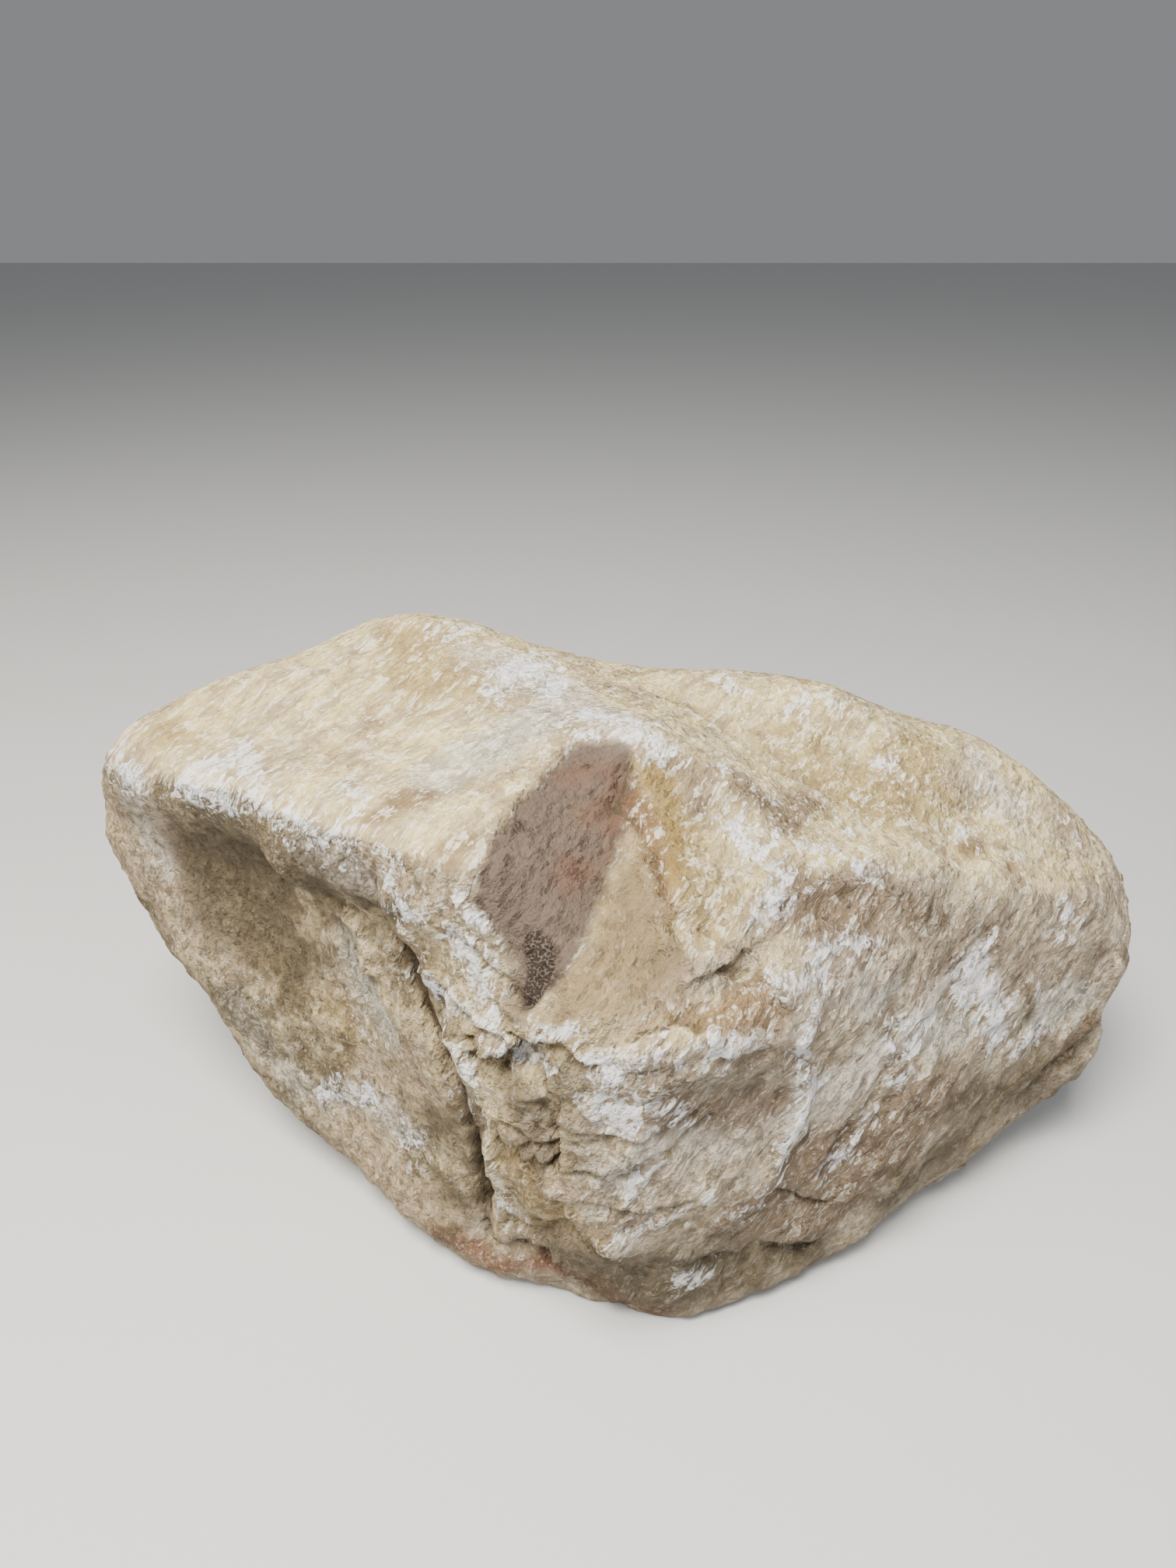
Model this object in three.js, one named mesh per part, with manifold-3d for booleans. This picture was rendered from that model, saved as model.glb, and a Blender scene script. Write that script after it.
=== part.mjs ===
// A rough boulder of honeycomb calcite, lying on its flat broken underside.
//
// Millimetres, +Z up. +X runs along the boulder's length, +Y from its steep front to its back.
// The origin is on the ground, under the centre of the boulder's box.
import * as THREE from "three";
import { ConvexHull } from "three/addons/math/ConvexHull.js";
import Module from "manifold-3d";

// ---------------------------------------------------------------------------------------------
// The survey: points on the boulder's ridges, faces and hollows, grouped by where they lie.

const survey = {
  // The flat top of the left block, highest at its back, where it ends in a low hump.
  plateau: [
    [-330, 75, 300], [-313, 103, 324], [-258, 141, 341], [-198, 167, 354], [-165, 177, 364], [-132, 181, 371],
    [-99, 171, 366], [-66, 161, 358], [-276, 73, 318], [-227, 82, 330], [-168, 92, 342], [-114, 110, 356],
    [-62, 94, 352], [-189, 20, 326], [-130, 6, 332], [-85, 16, 342], [-41, 52, 350], [-102, -40, 330],
    [-235, 28, 321],
  ],
  // The rounded lip where the plateau breaks off to the left face, from the left tip to the front corner.
  lip: [
    [-345, 97, 257], [-297, 53, 306], [-258, 24, 311], [-206, -7, 316], [-168, -34, 320], [-130, -57, 323],
    [-94, -74, 322], [-312, 62, 281], [-268, 42, 284], [-215, 11, 290], [-173, -16, 292], [-134, -46, 297],
    [-101, -68, 299],
  ],
  // The left face: hollow under the lip, fuller lower down.
  leftFace: [
    [-261, 60, 240], [-211, 30, 247], [-169, -1, 250], [-136, -31, 250], [-344, 96, 207],
    [-325, 85, 161], [-256, 44, 168], [-204, 20, 198], [-169, -10, 190], [-138, -38, 190],
    [-197, 1, 141], [-119, -50, 142], [-290, 66, 133], [-244, 33, 127], [-155, -24, 123],
    [-264, 49, 78], [-227, 25, 77], [-183, -6, 72], [-136, -41, 64], [-98, -66, 80],
    [-227, 23, 47], [-177, -12, 34], [-130, -54, 18], [-86, -78, 11],
  ],
  // The ridge from the front corner up to the crest, and on along the crest to the right.
  crest: [
    [-73, -78, 320], [-63, -47, 332], [-48, -10, 338], [-31, 17, 344], [-8, 41, 349], [21, 55, 346],
    [44, 44, 338], [67, 28, 328], [95, 19, 314], [8, 17, 339],
  ],
  // The broken dish that runs down from the crest.
  dish: [[-68, -88, 290], [-21, -22, 324], [-27, -78, 288], [36, -84, 270]],
  // The valley behind the crest.
  valley: [[-23, 150, 347], [4, 132, 338], [40, 114, 328], [79, 83, 314], [112, 59, 300], [150, 45, 288]],
  // The long slope of the right block, from its back skyline down to the brow of the right face.
  slope: [
    [30, 158, 336], [86, 158, 335], [150, 149, 329], [196, 150, 306], [242, 151, 293], [288, 140, 277],
    [335, 122, 241], [357, 98, 206], [60, 128, 335], [114, 120, 326], [165, 104, 308], [206, 95, 292],
    [253, 101, 274], [211, 59, 270], [290, 82, 236], [43, 12, 318], [79, -3, 300],
    [117, 0, 291], [164, 16, 280], [215, 25, 262],
  ],
  // The steep front, between the long crack and the right face.
  front: [
    [-101, -66, 241], [-90, -90, 195], [-76, -92, 131], [-72, -82, 50], [-71, -92, 262],
    [-46, -112, 241], [-56, -116, 179], [-21, -127, 243], [-13, -132, 192], [-40, -114, 104],
    [6, -126, 98], [-43, -88, 12], [-2, -99, 8], [37, -110, 4],
  ],
  // The right face, from under the brow to the rounded right end.
  rightFace: [
    [308, 40, 170], [338, 56, 190], [322, 36, 132],
    [44, -46, 296], [66, -70, 275], [101, -49, 282], [130, -36, 277], [173, -14, 261], [222, 10, 240],
    [267, 29, 236], [307, 47, 225], [29, -107, 256], [67, -92, 255], [111, -65, 249], [152, -46, 234],
    [196, -21, 222], [246, 5, 197], [11, -133, 250], [44, -126, 244],
    [80, -106, 227], [123, -76, 200], [167, -51, 182], [214, -24, 163], [266, 4, 145], 
    [38, -125, 198], [76, -101, 174], [117, -83, 149], [160, -63, 135], [206, -40, 124], [259, -6, 107],
    [26, -135, 149], [69, -113, 124], [116, -88, 96], [166, -63, 86], [44, -116, 65], [85, -97, 49],
    [128, -78, 46], [365, 70, 176], [360, 58, 134], [353, 47, 99], [336, 35, 64], [295, 20, 52],
    [248, -10, 38], [193, -42, 28], [145, -74, 22], [90, -99, 12],
  ],
  // The back, seldom seen.
  back: [
    [-348, 150, 250], [-338, 205, 225], [-265, 214, 270], [-170, 232, 316], [-90, 230, 318], [0, 224, 300],
    [80, 236, 284], [160, 236, 270], [240, 216, 248], [326, 185, 200], [372, 148, 160], [-346, 200, 165],
    [-275, 255, 200], [-170, 270, 225], [-80, 280, 230], [20, 287, 205], [110, 282, 195], [205, 268, 175],
    [305, 232, 150], [356, 180, 108], [-312, 195, 100], [-240, 250, 110], [-130, 266, 108], [-30, 272, 100],
    [60, 274, 90], [165, 262, 85], [268, 222, 80], [326, 150, 62],
  ],
  // The underside, and the flat break that it rests on.
  underside: [
    [-262, 125, 45], [-190, 195, 30], [-80, 222, 22], [50, 228, 18], [160, 205, 20], [240, 150, 24],
    [285, 80, 28], [-160, 60, -6], [-150, 140, -6], [-60, 178, -6], [50, 188, -6], [140, 165, -6],
    [205, 110, -6], [220, 40, -6], [150, -30, -6], [90, -70, -6], [30, -88, -6], [-40, -64, -6],
    [-100, -16, -6], [40, 50, -6],
  ],
};

// A point inside the boulder, from which all of the survey can be seen.
const heart = new THREE.Vector3(10, 100, 165);

// ---------------------------------------------------------------------------------------------
// Facets: planes that the boulder has broken off to, each with a rounded edge.

const facets = [
  { through: [0, 268, 200], facing: [0.1, 1, 0.16], rounding: 18 },
  { through: [-292, 236, 190], facing: [-0.62, 0.8, 0.1], rounding: 20 },
  { through: [286, 240, 160], facing: [0.56, 0.8, 0.1], rounding: 20 },
  { through: [20, 258, 100], facing: [-0.1, 0.85, -0.5], rounding: 16 },
  { through: [150, 238, 276], facing: [0.24, 0.66, 0.7], rounding: 18 },
  { through: [-150, 236, 318], facing: [-0.16, 0.8, 0.58], rounding: 16 },
  { through: [-288, 206, 96], facing: [-0.55, 0.55, -0.62], rounding: 16 },
  { through: [200, 196, 56], facing: [0.35, 0.55, -0.75], rounding: 16 },
];

// Strokes: lines along which the surface stands out (or lies in, where the height is negative). Near is
// the side that the line looks toward: [height, reach]. Far is the other side. Edge is the size of the
// triangles along it.
const strokes = [
  // The broken step at the right of the dish, and the fold in front of the crest.
  { along: [[8, 19, 340], [5, -10, 320], [18, -41, 303], [32, -79, 275]], toward: [1, 0, 0.3],
    near: [11, 40], far: [-6, 45], start: 0.35, edge: 9 },
  { along: [[37, 47, 342], [60, 33, 332], [82, 20, 322], [107, 10, 308]], toward: [-0.6, -0.7, 0.3],
    near: [4, 20], far: [-5, 24], edge: 12 },
  // The shelf on the front, with a hollow under it and a crease above.
  { along: [[-12, -132, 231], [-1, -135, 230], [44, -127, 230], [91, -97, 211], [108, -86, 195]],
    toward: [0, 0, 1], near: [3, 20], far: [-9, 32], edge: 8 },
  { along: [[3, -128, 249], [22, -122, 256], [46, -112, 258]], toward: [0, 0, 1],
    near: [-7, 18], far: [-3, 10], edge: 8 },
  // The long crack between the left face and the front.
  { along: [[-129, -50, 299], [-118, -52, 274], [-112, -54, 253], [-101, -71, 222], [-91, -86, 212],
    [-83, -96, 187], [-77, -99, 166], [-73, -94, 123], [-73, -84, 71], [-72, -82, 47]],
    toward: [1, -0.4, 0], near: [6, 20], far: [-14, 24], edge: 6.5 },
  // Broken blocks right of the crack: a groove, a gap, a level crack and the slanting edge of a lower facet.
  { along: [[-77, -98, 226], [-63, -108, 219], [-42, -115, 238]], toward: [0, 0, 1],
    near: [3, 14], far: [-9, 17], edge: 7 },
  { along: [[-42, -119, 225], [-31, -126, 210], [-30, -127, 183], [-28, -127, 159]], toward: [1, 0, 0],
    near: [4, 16], far: [-9, 17], edge: 7 },
  { along: [[-61, -110, 153], [-39, -123, 161], [13, -134, 170]], toward: [0, 0, 1],
    near: [3, 14], far: [-6, 15], edge: 8 },
  { along: [[-65, -109, 170], [-39, -123, 148], [-17, -127, 122], [1, -125, 93], [34, -118, 70]],
    toward: [0.8, 0, 0.6], near: [8, 24], far: [-8, 36], edge: 8 },
  // The notch at the foot of the front.
  { along: [[-72, -82, 50], [-46, -102, 66], [-39, -99, 47], [-22, -104, 31], [7, -109, 15]],
    toward: [0, 0, 1], near: [4, 14], far: [-10, 18], edge: 7 },
  // The brow of the right face and the hollow under it, then the two edges of a shallow chip.
  { along: [[92, -51, 283], [122, -27, 284], [160, -7, 272], [168, -14, 264]], toward: [0, 0.5, 1],
    near: [4, 22], far: [-10, 38], edge: 10 },
  { along: [[44, -97, 258], [64, -82, 266], [75, -74, 268]], toward: [-0.3, 0, 1],
    near: [4, 14], far: [-8, 24], edge: 8 },
  { along: [[75, -74, 268], [94, -86, 241]], toward: [1, 0, 0.5], near: [3, 12], far: [-5, 20], edge: 9 },
  // Two ridges that slant down the right face.
  { along: [[108, -85, 212], [114, -82, 173], [102, -93, 141], [79, -107, 111], [68, -111, 96]],
    toward: [-1, 0, 0], near: [5, 18], far: [5, 14], edge: 9 },
  { along: [[164, -50, 198], [165, -57, 156], [138, -74, 134], [130, -80, 114], [127, -81, 88]],
    toward: [-1, 0, 0], near: [4, 18], far: [-6, 26], edge: 10 },
  // The shallow valley that runs down the right block from its slope, and the undercut right corner.
  { along: [[247, 86, 264], [226, 28, 258], [209, -1, 237], [196, -20, 222], [206, -20, 191]],
    toward: [-1, 0, 0], near: [-6, 32], far: [-6, 32], edge: 13 },
  { along: [[352, 52, 138], [335, 33, 116], [302, 16, 100], [296, 8, 84]], toward: [-0.3, -0.3, 1],
    near: [5, 24], far: [-8, 34], edge: 10 },
  // The rounded ledge low on the front.
  { along: [[-8, -127, 96], [29, -119, 76], [84, -99, 61], [127, -79, 43]], toward: [0, 0, 1],
    near: [6, 22], far: [-9, 22], edge: 9 },
  { along: [[100, -97, 106], [134, -77, 76]], toward: [0, 0, 1], near: [2, 10], far: [-5, 10], edge: 8 },
  // The rib and the small crack on the left face.
  { along: [[-196, 0, 290], [-173, -2, 261], [-148, -17, 243], [-142, -30, 222]], toward: [1, 0, 0.5],
    near: [6, 18], far: [7, 12], edge: 9 },
  { along: [[-206, 24, 258], [-214, 26, 243]], toward: [1, 0, 0], near: [2, 8], far: [-6, 9], edge: 8 },
  // The low lip on the hump at the back of the plateau.
  { along: [[-134, 150, 369], [-118, 146, 368], [-96, 152, 366]], toward: [0, 1, 0], near: [3, 14],
    far: [-4, 22], edge: 11 },
  // The back: a ledge across it, two slanting steps, and a bench low on the right.
  { along: [[-240, 206, 158], [-130, 262, 172], [-20, 274, 150], [90, 268, 162], [200, 240, 136]],
    toward: [0, 0, 1], near: [6, 46], far: [-12, 56], edge: 16 },
  { along: [[128, 230, 290], [100, 262, 236], [122, 268, 170]], toward: [-1, 0, 0.3], near: [6, 44],
    far: [-8, 56], edge: 17 },
  { along: [[-50, 232, 320], [-96, 262, 250], [-140, 262, 180]], toward: [1, 0, 0.3], near: [5, 40],
    far: [-7, 52], edge: 17 },
  { along: [[50, 266, 98], [150, 250, 80], [250, 210, 92]], toward: [0, 0, 1], near: [5, 32],
    far: [-8, 36], edge: 16 },
];

// Spots: oval dents, or lumps where the height is positive.
const spots = [
  { at: [47, -68, 279], reach: [22, 24, 16], height: -9 }, // at the foot of the broken step
  { at: [-92, -88, 188], reach: [9, 14, 22], height: -12 }, // two pits in the long crack
  { at: [-99, -73, 226], reach: [9, 12, 15], height: -9 },
  { at: [47, -125, 172], reach: [62, 40, 46], height: -8 }, // the hollow below the shelf
  { at: [50, -110, 39], reach: [34, 24, 18], height: 7 }, // a low lobe at the foot
  { at: [-8, -62, 300], reach: [44, 40, 36], height: -6 }, // the dish, deeper toward its foot
  { at: [-250, 100, 326], reach: [60, 50, 30], height: -4 }, // worn hollows in the plateau
  { at: [-120, 60, 342], reach: [60, 45, 30], height: -4 },
  { at: [150, 110, 316], reach: [45, 35, 30], height: -5 }, // and in the slope
  { at: [225, 110, 284], reach: [35, 35, 30], height: 5 },
  { at: [-60, 262, 215], reach: [56, 30, 44], height: -9 }, // hollows in the back
  { at: [40, 262, 120], reach: [60, 30, 40], height: -8 },
  { at: [-210, 222, 205], reach: [50, 40, 44], height: -8 },
  { at: [250, 190, 190], reach: [46, 40, 36], height: -7 },
  { at: [300, 165, 140], reach: [40, 40, 40], height: 7 },
  { at: [-290, 178, 170], reach: [40, 40, 40], height: 7 },
];

const LONGEST_EDGE = 29; // of any triangle, before the surface is shaped by the strokes and spots

// ---------------------------------------------------------------------------------------------
// Meshes here are { points: [Vector3], faces: [[a, b, c]] }.

const vector = (xyz) => new THREE.Vector3(...xyz);
const edgeKey = (a, b) => (a < b ? `${a}_${b}` : `${b}_${a}`);

// Joins surveyed points into a closed skin: neighbours are those that are neighbours seen from the heart.
function skin(points) {
  const onSphere = points.map((p) => p.clone().sub(heart).normalize());
  const index = new Map(onSphere.map((p, i) => [p, i]));
  const hull = new ConvexHull().setFromPoints(onSphere);
  const faces = hull.faces.map((face) => {
    const corner = face.edge;
    return [corner.tail(), corner.head(), corner.next.head()].map((v) => index.get(v.point));
  });
  return { points, faces };
}

// Every edge of a mesh with its two ends, and the faces and far corners at its two sides.
function edgesOf(faces) {
  const edges = new Map();
  faces.forEach(([a, b, c], face) => {
    for (const [from, to, far] of [[a, b, c], [b, c, a], [c, a, b]]) {
      const key = edgeKey(from, to);
      if (!edges.has(key)) edges.set(key, { ends: [from, to], faces: [], far: [] });
      edges.get(key).faces.push(face);
      edges.get(key).far.push(far);
    }
  });
  return edges;
}

const cornerAngle = (at, one, other) => one.clone().sub(at).angleTo(other.clone().sub(at));

const faceNormal = (a, b, c) => b.clone().sub(a).cross(c.clone().sub(a)).normalize();

// Turns the shared edge of two triangles wherever that makes both less thin.
function turnThinTriangles({ points, faces }, rounds) {
  let turned = faces.map((face) => [...face]);
  for (let round = 0; round < rounds; round++) {
    const edges = edgesOf(turned);
    const used = new Set();
    const made = new Set();
    for (const { ends: [a, b], faces: [left, right], far: [c, d] } of edges.values()) {
      if (used.has(left) || used.has(right) || edges.has(edgeKey(c, d)) || made.has(edgeKey(c, d))) continue;
      const [pa, pb, pc, pd] = [a, b, c, d].map((i) => points[i]);
      if (cornerAngle(pc, pa, pb) + cornerAngle(pd, pa, pb) < Math.PI * 1.02) continue;
      const before = faceNormal(pa, pb, pc).add(faceNormal(pb, pa, pd)).normalize();
      const after = [faceNormal(pa, pd, pc), faceNormal(pb, pc, pd)];
      if (after.some((normal) => normal.dot(before) < 0.5)) continue;
      turned[left] = [a, d, c];
      turned[right] = [b, c, d];
      made.add(edgeKey(c, d));
      used.add(left).add(right);
    }
    if (used.size === 0) break;
  }
  return { points, faces: turned };
}

// One step of Loop subdivision: every triangle becomes four, and the surface gets smoother.
function loopStep({ points, faces }) {
  const edges = edgesOf(faces);
  const neighbours = points.map(() => new Set());
  for (const { ends: [a, b] } of edges.values()) {
    neighbours[a].add(b);
    neighbours[b].add(a);
  }
  const kept = points.map((p, i) => {
    const count = neighbours[i].size;
    const share = count > 3 ? 3 / (8 * count) : 3 / 16;
    const moved = p.clone().multiplyScalar(1 - count * share);
    for (const n of neighbours[i]) moved.addScaledVector(points[n], share);
    return moved;
  });
  const added = [];
  for (const edge of edges.values()) {
    const middle = new THREE.Vector3();
    for (const end of edge.ends) middle.addScaledVector(points[end], 3 / 8);
    for (const far of edge.far) middle.addScaledVector(points[far], 1 / 8);
    edge.middle = kept.length + added.length;
    added.push(middle);
  }
  const middleOf = (a, b) => edges.get(edgeKey(a, b)).middle;
  const finer = faces.flatMap(([a, b, c]) => {
    const [ab, bc, ca] = [middleOf(a, b), middleOf(b, c), middleOf(c, a)];
    return [[a, ab, ca], [b, bc, ab], [c, ca, bc], [ab, bc, ca]];
  });
  return { points: [...kept, ...added], faces: finer };
}

// A smooth surface through the surveyed points: the cage is pushed out until its subdivided form meets them.
function smoothThrough(cage, steps, rounds) {
  const subdivide = (mesh) => {
    let finer = mesh;
    for (let i = 0; i < steps; i++) finer = loopStep(finer);
    return finer;
  };
  const pushed = { points: cage.points.map((p) => p.clone()), faces: cage.faces };
  for (let round = 0; round < rounds; round++) {
    const surface = subdivide(pushed);
    pushed.points.forEach((p, i) => p.add(cage.points[i]).sub(surface.points[i]));
  }
  return subdivide(pushed);
}

// The normal at every point.
function normalsOf({ points, faces }) {
  const normals = points.map(() => new THREE.Vector3());
  for (const [a, b, c] of faces) {
    const area = points[b].clone().sub(points[a]).cross(points[c].clone().sub(points[a]));
    for (const i of [a, b, c]) normals[i].add(area);
  }
  return normals.map((n) => n.normalize());
}

// Splits every edge longer than is wanted at its middle. New points follow the curve of the surface.
function splitLongEdges(mesh, wantedAt) {
  const { points, faces } = mesh;
  const normals = normalsOf(mesh);
  const edges = edgesOf(faces);
  const added = [];
  for (const edge of edges.values()) {
    const [a, b] = edge.ends.map((i) => points[i]);
    const middle = a.clone().add(b).multiplyScalar(0.5);
    if (a.distanceTo(b) <= wantedAt(middle)) continue;
    const bulge = new THREE.Vector3();
    for (const i of edge.ends) {
      bulge.addScaledVector(normals[i], points[i].clone().sub(middle).dot(normals[i]) / 2);
    }
    edge.middle = points.length + added.length;
    added.push(middle.addScaledVector(bulge, 0.75));
  }
  const finer = faces.flatMap((face) => {
    const middles = face.map((from, i) => edges.get(edgeKey(from, face[(i + 1) % 3])).middle);
    const split = middles.filter((m) => m !== undefined).length;
    if (split === 0) return [face];
    if (split === 3) {
      const [ab, bc, ca] = middles;
      return [[face[0], ab, ca], [face[1], bc, ab], [face[2], ca, bc], [ab, bc, ca]];
    }
    // Turn the face so that its first edge is split and, where two are, the third edge is the whole one.
    const first = split === 1 ? middles.findIndex((m) => m !== undefined)
      : (middles.findIndex((m) => m === undefined) + 1) % 3;
    const [a, b, c] = [0, 1, 2].map((i) => face[(first + i) % 3]);
    const [ab, bc] = [middles[first], middles[(first + 1) % 3]];
    if (split === 1) return [[a, ab, c], [ab, b, c]];
    return [[ab, b, bc], [a, ab, c], [ab, bc, c]];
  });
  return { points: [...points, ...added], faces: finer };
}

// Evens out small jogs without shrinking: one step smooths, the next swells back.
function relax({ points, faces }, rounds) {
  const neighbours = points.map(() => new Set());
  for (const [a, b, c] of faces) {
    neighbours[a].add(b).add(c);
    neighbours[b].add(c).add(a);
    neighbours[c].add(a).add(b);
  }
  let moved = points;
  for (let round = 0; round < rounds; round++) {
    for (const strength of [0.5, -0.53]) {
      moved = moved.map((p, i) => {
        const middle = new THREE.Vector3();
        for (const n of neighbours[i]) middle.add(moved[n]);
        return p.clone().lerp(middle.divideScalar(neighbours[i].size), strength);
      });
    }
  }
  return { points: moved, faces };
}

// ---------------------------------------------------------------------------------------------
// Shaping the surface.

// The nearest point to p on a line through several points, and how far along the line it is (0 to 1).
function nearestOn(line, p) {
  let best = { distance: Infinity };
  line.slice(1).forEach((end, i) => {
    const segment = new THREE.Line3(line[i], end);
    const along = segment.closestPointToPointParameter(p, true);
    const point = segment.at(along, new THREE.Vector3());
    const distance = point.distanceTo(p);
    if (distance < best.distance) best = { distance, point, along: (i + along) / (line.length - 1) };
  });
  return best;
}

const fade = (share) => (share < 1 ? (1 - share * share) ** 2 : 0);

for (const stroke of strokes) {
  stroke.line = stroke.along.map(vector);
  stroke.way = vector(stroke.toward).normalize();
}

function strokeHeight({ line, way, near, far, edge, start = 1 }, p) {
  const { distance, point, along } = nearestOn(line, p);
  if (distance > Math.max(near[1], far[1])) return 0;
  const side = p.clone().sub(point).dot(way);
  const share = THREE.MathUtils.smoothstep(side, -edge * 0.8, edge * 0.8);
  const height = share * near[0] * fade(distance / near[1]) + (1 - share) * far[0] * fade(distance / far[1]);
  return height * THREE.MathUtils.lerp(start, 1, along);
}

function spotHeight({ at, reach, height }, p) {
  const offset = p.clone().sub(vector(at)).divide(vector(reach));
  return height * fade(offset.length());
}

// Presses the surface back to a facet wherever it stands out of it.
function pressTo({ through, facing, rounding }, points) {
  const out = vector(facing).normalize();
  return points.map((p) => {
    const above = p.clone().sub(vector(through)).dot(out);
    const share = THREE.MathUtils.clamp(0.5 - above / (2 * rounding), 0, 1);
    const pressed = share * above - rounding * share * (1 - share);
    return p.clone().addScaledVector(out, pressed - above);
  });
}

function raise(mesh) {
  const normals = normalsOf(mesh);
  return mesh.points.map((p, i) => {
    let height = 0;
    for (const stroke of strokes) height += strokeHeight(stroke, p);
    for (const spot of spots) height += spotHeight(spot, p);
    return p.clone().addScaledVector(normals[i], height);
  });
}

function wantedEdge(p) {
  let wanted = LONGEST_EDGE;
  for (const { line, near, far, edge } of strokes) {
    const { distance } = nearestOn(line, p);
    const reach = Math.max(near[1], far[1]) * 0.5;
    wanted = Math.min(wanted, edge * 1.4 + Math.max(0, distance - reach) * 0.9);
  }
  return wanted;
}

const cage = turnThinTriangles(skin(Object.values(survey).flat().map(vector)), 8);
let surface = smoothThrough(cage, 1, 8);
surface = relax(turnThinTriangles(surface, 4), 3);
for (let pass = 0; pass < 4; pass++) surface = turnThinTriangles(splitLongEdges(surface, wantedEdge), 2);
for (const facet of facets) surface.points = pressTo(facet, surface.points);
surface.points = raise(surface);
surface = relax(surface, 2);

// ---------------------------------------------------------------------------------------------
// The solid: cut off flat at the ground, and moved so that the origin is under the centre of its box.

const wasm = await Module();
wasm.setup();
const wholeSurface = new wasm.Manifold(new wasm.Mesh({
  numProp: 3,
  vertProperties: new Float32Array(surface.points.flatMap((p) => p.toArray())),
  triVerts: new Uint32Array(surface.faces.flat()),
}));
const solid = wholeSurface.trimByPlane([0, 0, 1], 0);

const mesh = solid.getMesh();
const geometry = new THREE.BufferGeometry();
geometry.setAttribute("position", new THREE.BufferAttribute(mesh.vertProperties, 3));
geometry.setIndex(new THREE.BufferAttribute(mesh.triVerts, 1));
geometry.computeBoundingBox();
const middle = geometry.boundingBox.getCenter(new THREE.Vector3());
geometry.translate(-middle.x, -middle.y, 0);

const calciteFinish = new THREE.MeshStandardMaterial({ color: 0xcdb89a, roughness: 0.85, metalness: 0 });
const boulder = new THREE.Mesh(geometry, calciteFinish);
boulder.name = "calcite_boulder";

const specimen = new THREE.Group();
specimen.name = "honeycomb_calcite_specimen";
specimen.add(boulder);
export default specimen;
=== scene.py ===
# %% [markdown]
# # A boulder of honeycomb calcite
#
# This lesson dresses one rough garden boulder. Its calcite grew as long, packed fibres, so it is tan and
# silky along them, grainy across them, and dusted white where its ridges are bruised. A solid, made earlier
# to scale, gives its size and large forms. Here it gets its broken surface, stains and frosting, and then a
# floor, a light and a camera. Everything is in metres, with Z up, from the ground under the middle of the
# boulder.

# %% Load the solid boulder
from math import pi, radians

import bpy
import numpy as np
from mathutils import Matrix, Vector, noise
from mathutils.bvhtree import BVHTree


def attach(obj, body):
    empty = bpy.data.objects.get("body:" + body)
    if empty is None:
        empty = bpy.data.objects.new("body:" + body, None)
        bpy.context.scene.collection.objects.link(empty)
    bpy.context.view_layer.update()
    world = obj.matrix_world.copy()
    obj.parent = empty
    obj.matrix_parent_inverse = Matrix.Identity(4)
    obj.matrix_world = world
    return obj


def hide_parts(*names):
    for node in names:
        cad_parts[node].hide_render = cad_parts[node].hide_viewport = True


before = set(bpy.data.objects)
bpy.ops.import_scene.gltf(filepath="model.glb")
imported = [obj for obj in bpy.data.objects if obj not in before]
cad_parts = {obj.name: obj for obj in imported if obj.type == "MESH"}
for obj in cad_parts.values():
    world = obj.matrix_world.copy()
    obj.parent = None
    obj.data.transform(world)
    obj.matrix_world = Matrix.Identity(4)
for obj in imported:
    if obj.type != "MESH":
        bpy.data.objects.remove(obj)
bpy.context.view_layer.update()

# %% [markdown]
# ## Where things are on the stone
#
# A natural stone has no edges to measure from, so the bends of its cracks are given as readings in
# millimetres from a zero point: how far right of it, how far behind it and how high. They are estimates
# worked out from lines of sight: nothing was measured on a real stone. One small function turns a reading
# into a place in the scene. Written readings can be checked and changed one by one, which points picked by
# hand in the viewport can't.

# %% Turn readings into places
MM = 0.001
MIDDLE_FROM_ZERO = np.array((7.5, 72.7, 0.0))  # the middle of the boulder, from the zero point


def place(right, behind, high):
    """A reading in millimetres from the zero point, as a place in the scene in metres."""
    return (np.array((right, behind, high)) - MIDDLE_FROM_ZERO) * MM


print("the zero point is at", place(0, 0, 0))

# %% [markdown]
# ## The camera
#
# The boulder is seen by someone who crouches close in front of it and looks down at its top: the lens is 65
# cm from the ground, tilted 29 degrees down, and a wide 26 mm. A close, wide view makes the near corner
# look big, which a long lens from further off would not.

# %% Set up the camera
LENS_MM = 26
FILM_MM = 36  # the long side of the frame
TILT_DOWN = radians(29)
eye = bpy.data.cameras.new("eye")
eye.lens = LENS_MM
eye.sensor_width = FILM_MM
eye.clip_start = 0.01
camera = bpy.data.objects.new("camera", eye)
camera.location = place(-14.3, -573.1, 648.6)
camera.rotation_euler = (pi / 2 - TILT_DOWN, 0, 0)
bpy.context.scene.collection.objects.link(camera)
bpy.context.scene.camera = camera
print("camera at", tuple(round(c, 3) for c in camera.location))

# %% [markdown]
# ## Sighting places from the camera
#
# A patch of colour or a broken hollow is easier to point at than to place, so it is sighted. A sight reading
# is a dot in the camera's frame, counted right and down from its top left corner. The line of sight through
# the dot is followed to the solid, so every patch lies on the stone. The place is rounded to a millimetre.

# %% Turn sight readings into places
FRAME_WIDE, FRAME_HIGH = 1512, 2016
LENS_IN_DOTS = FRAME_HIGH * LENS_MM / FILM_MM
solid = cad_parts["calcite_boulder"]
solid_points = [point.co for point in solid.data.vertices]
solid_faces = [tuple(face.vertices) for face in solid.data.polygons]
solid_surface = BVHTree.FromPolygons(solid_points, solid_faces)


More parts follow.
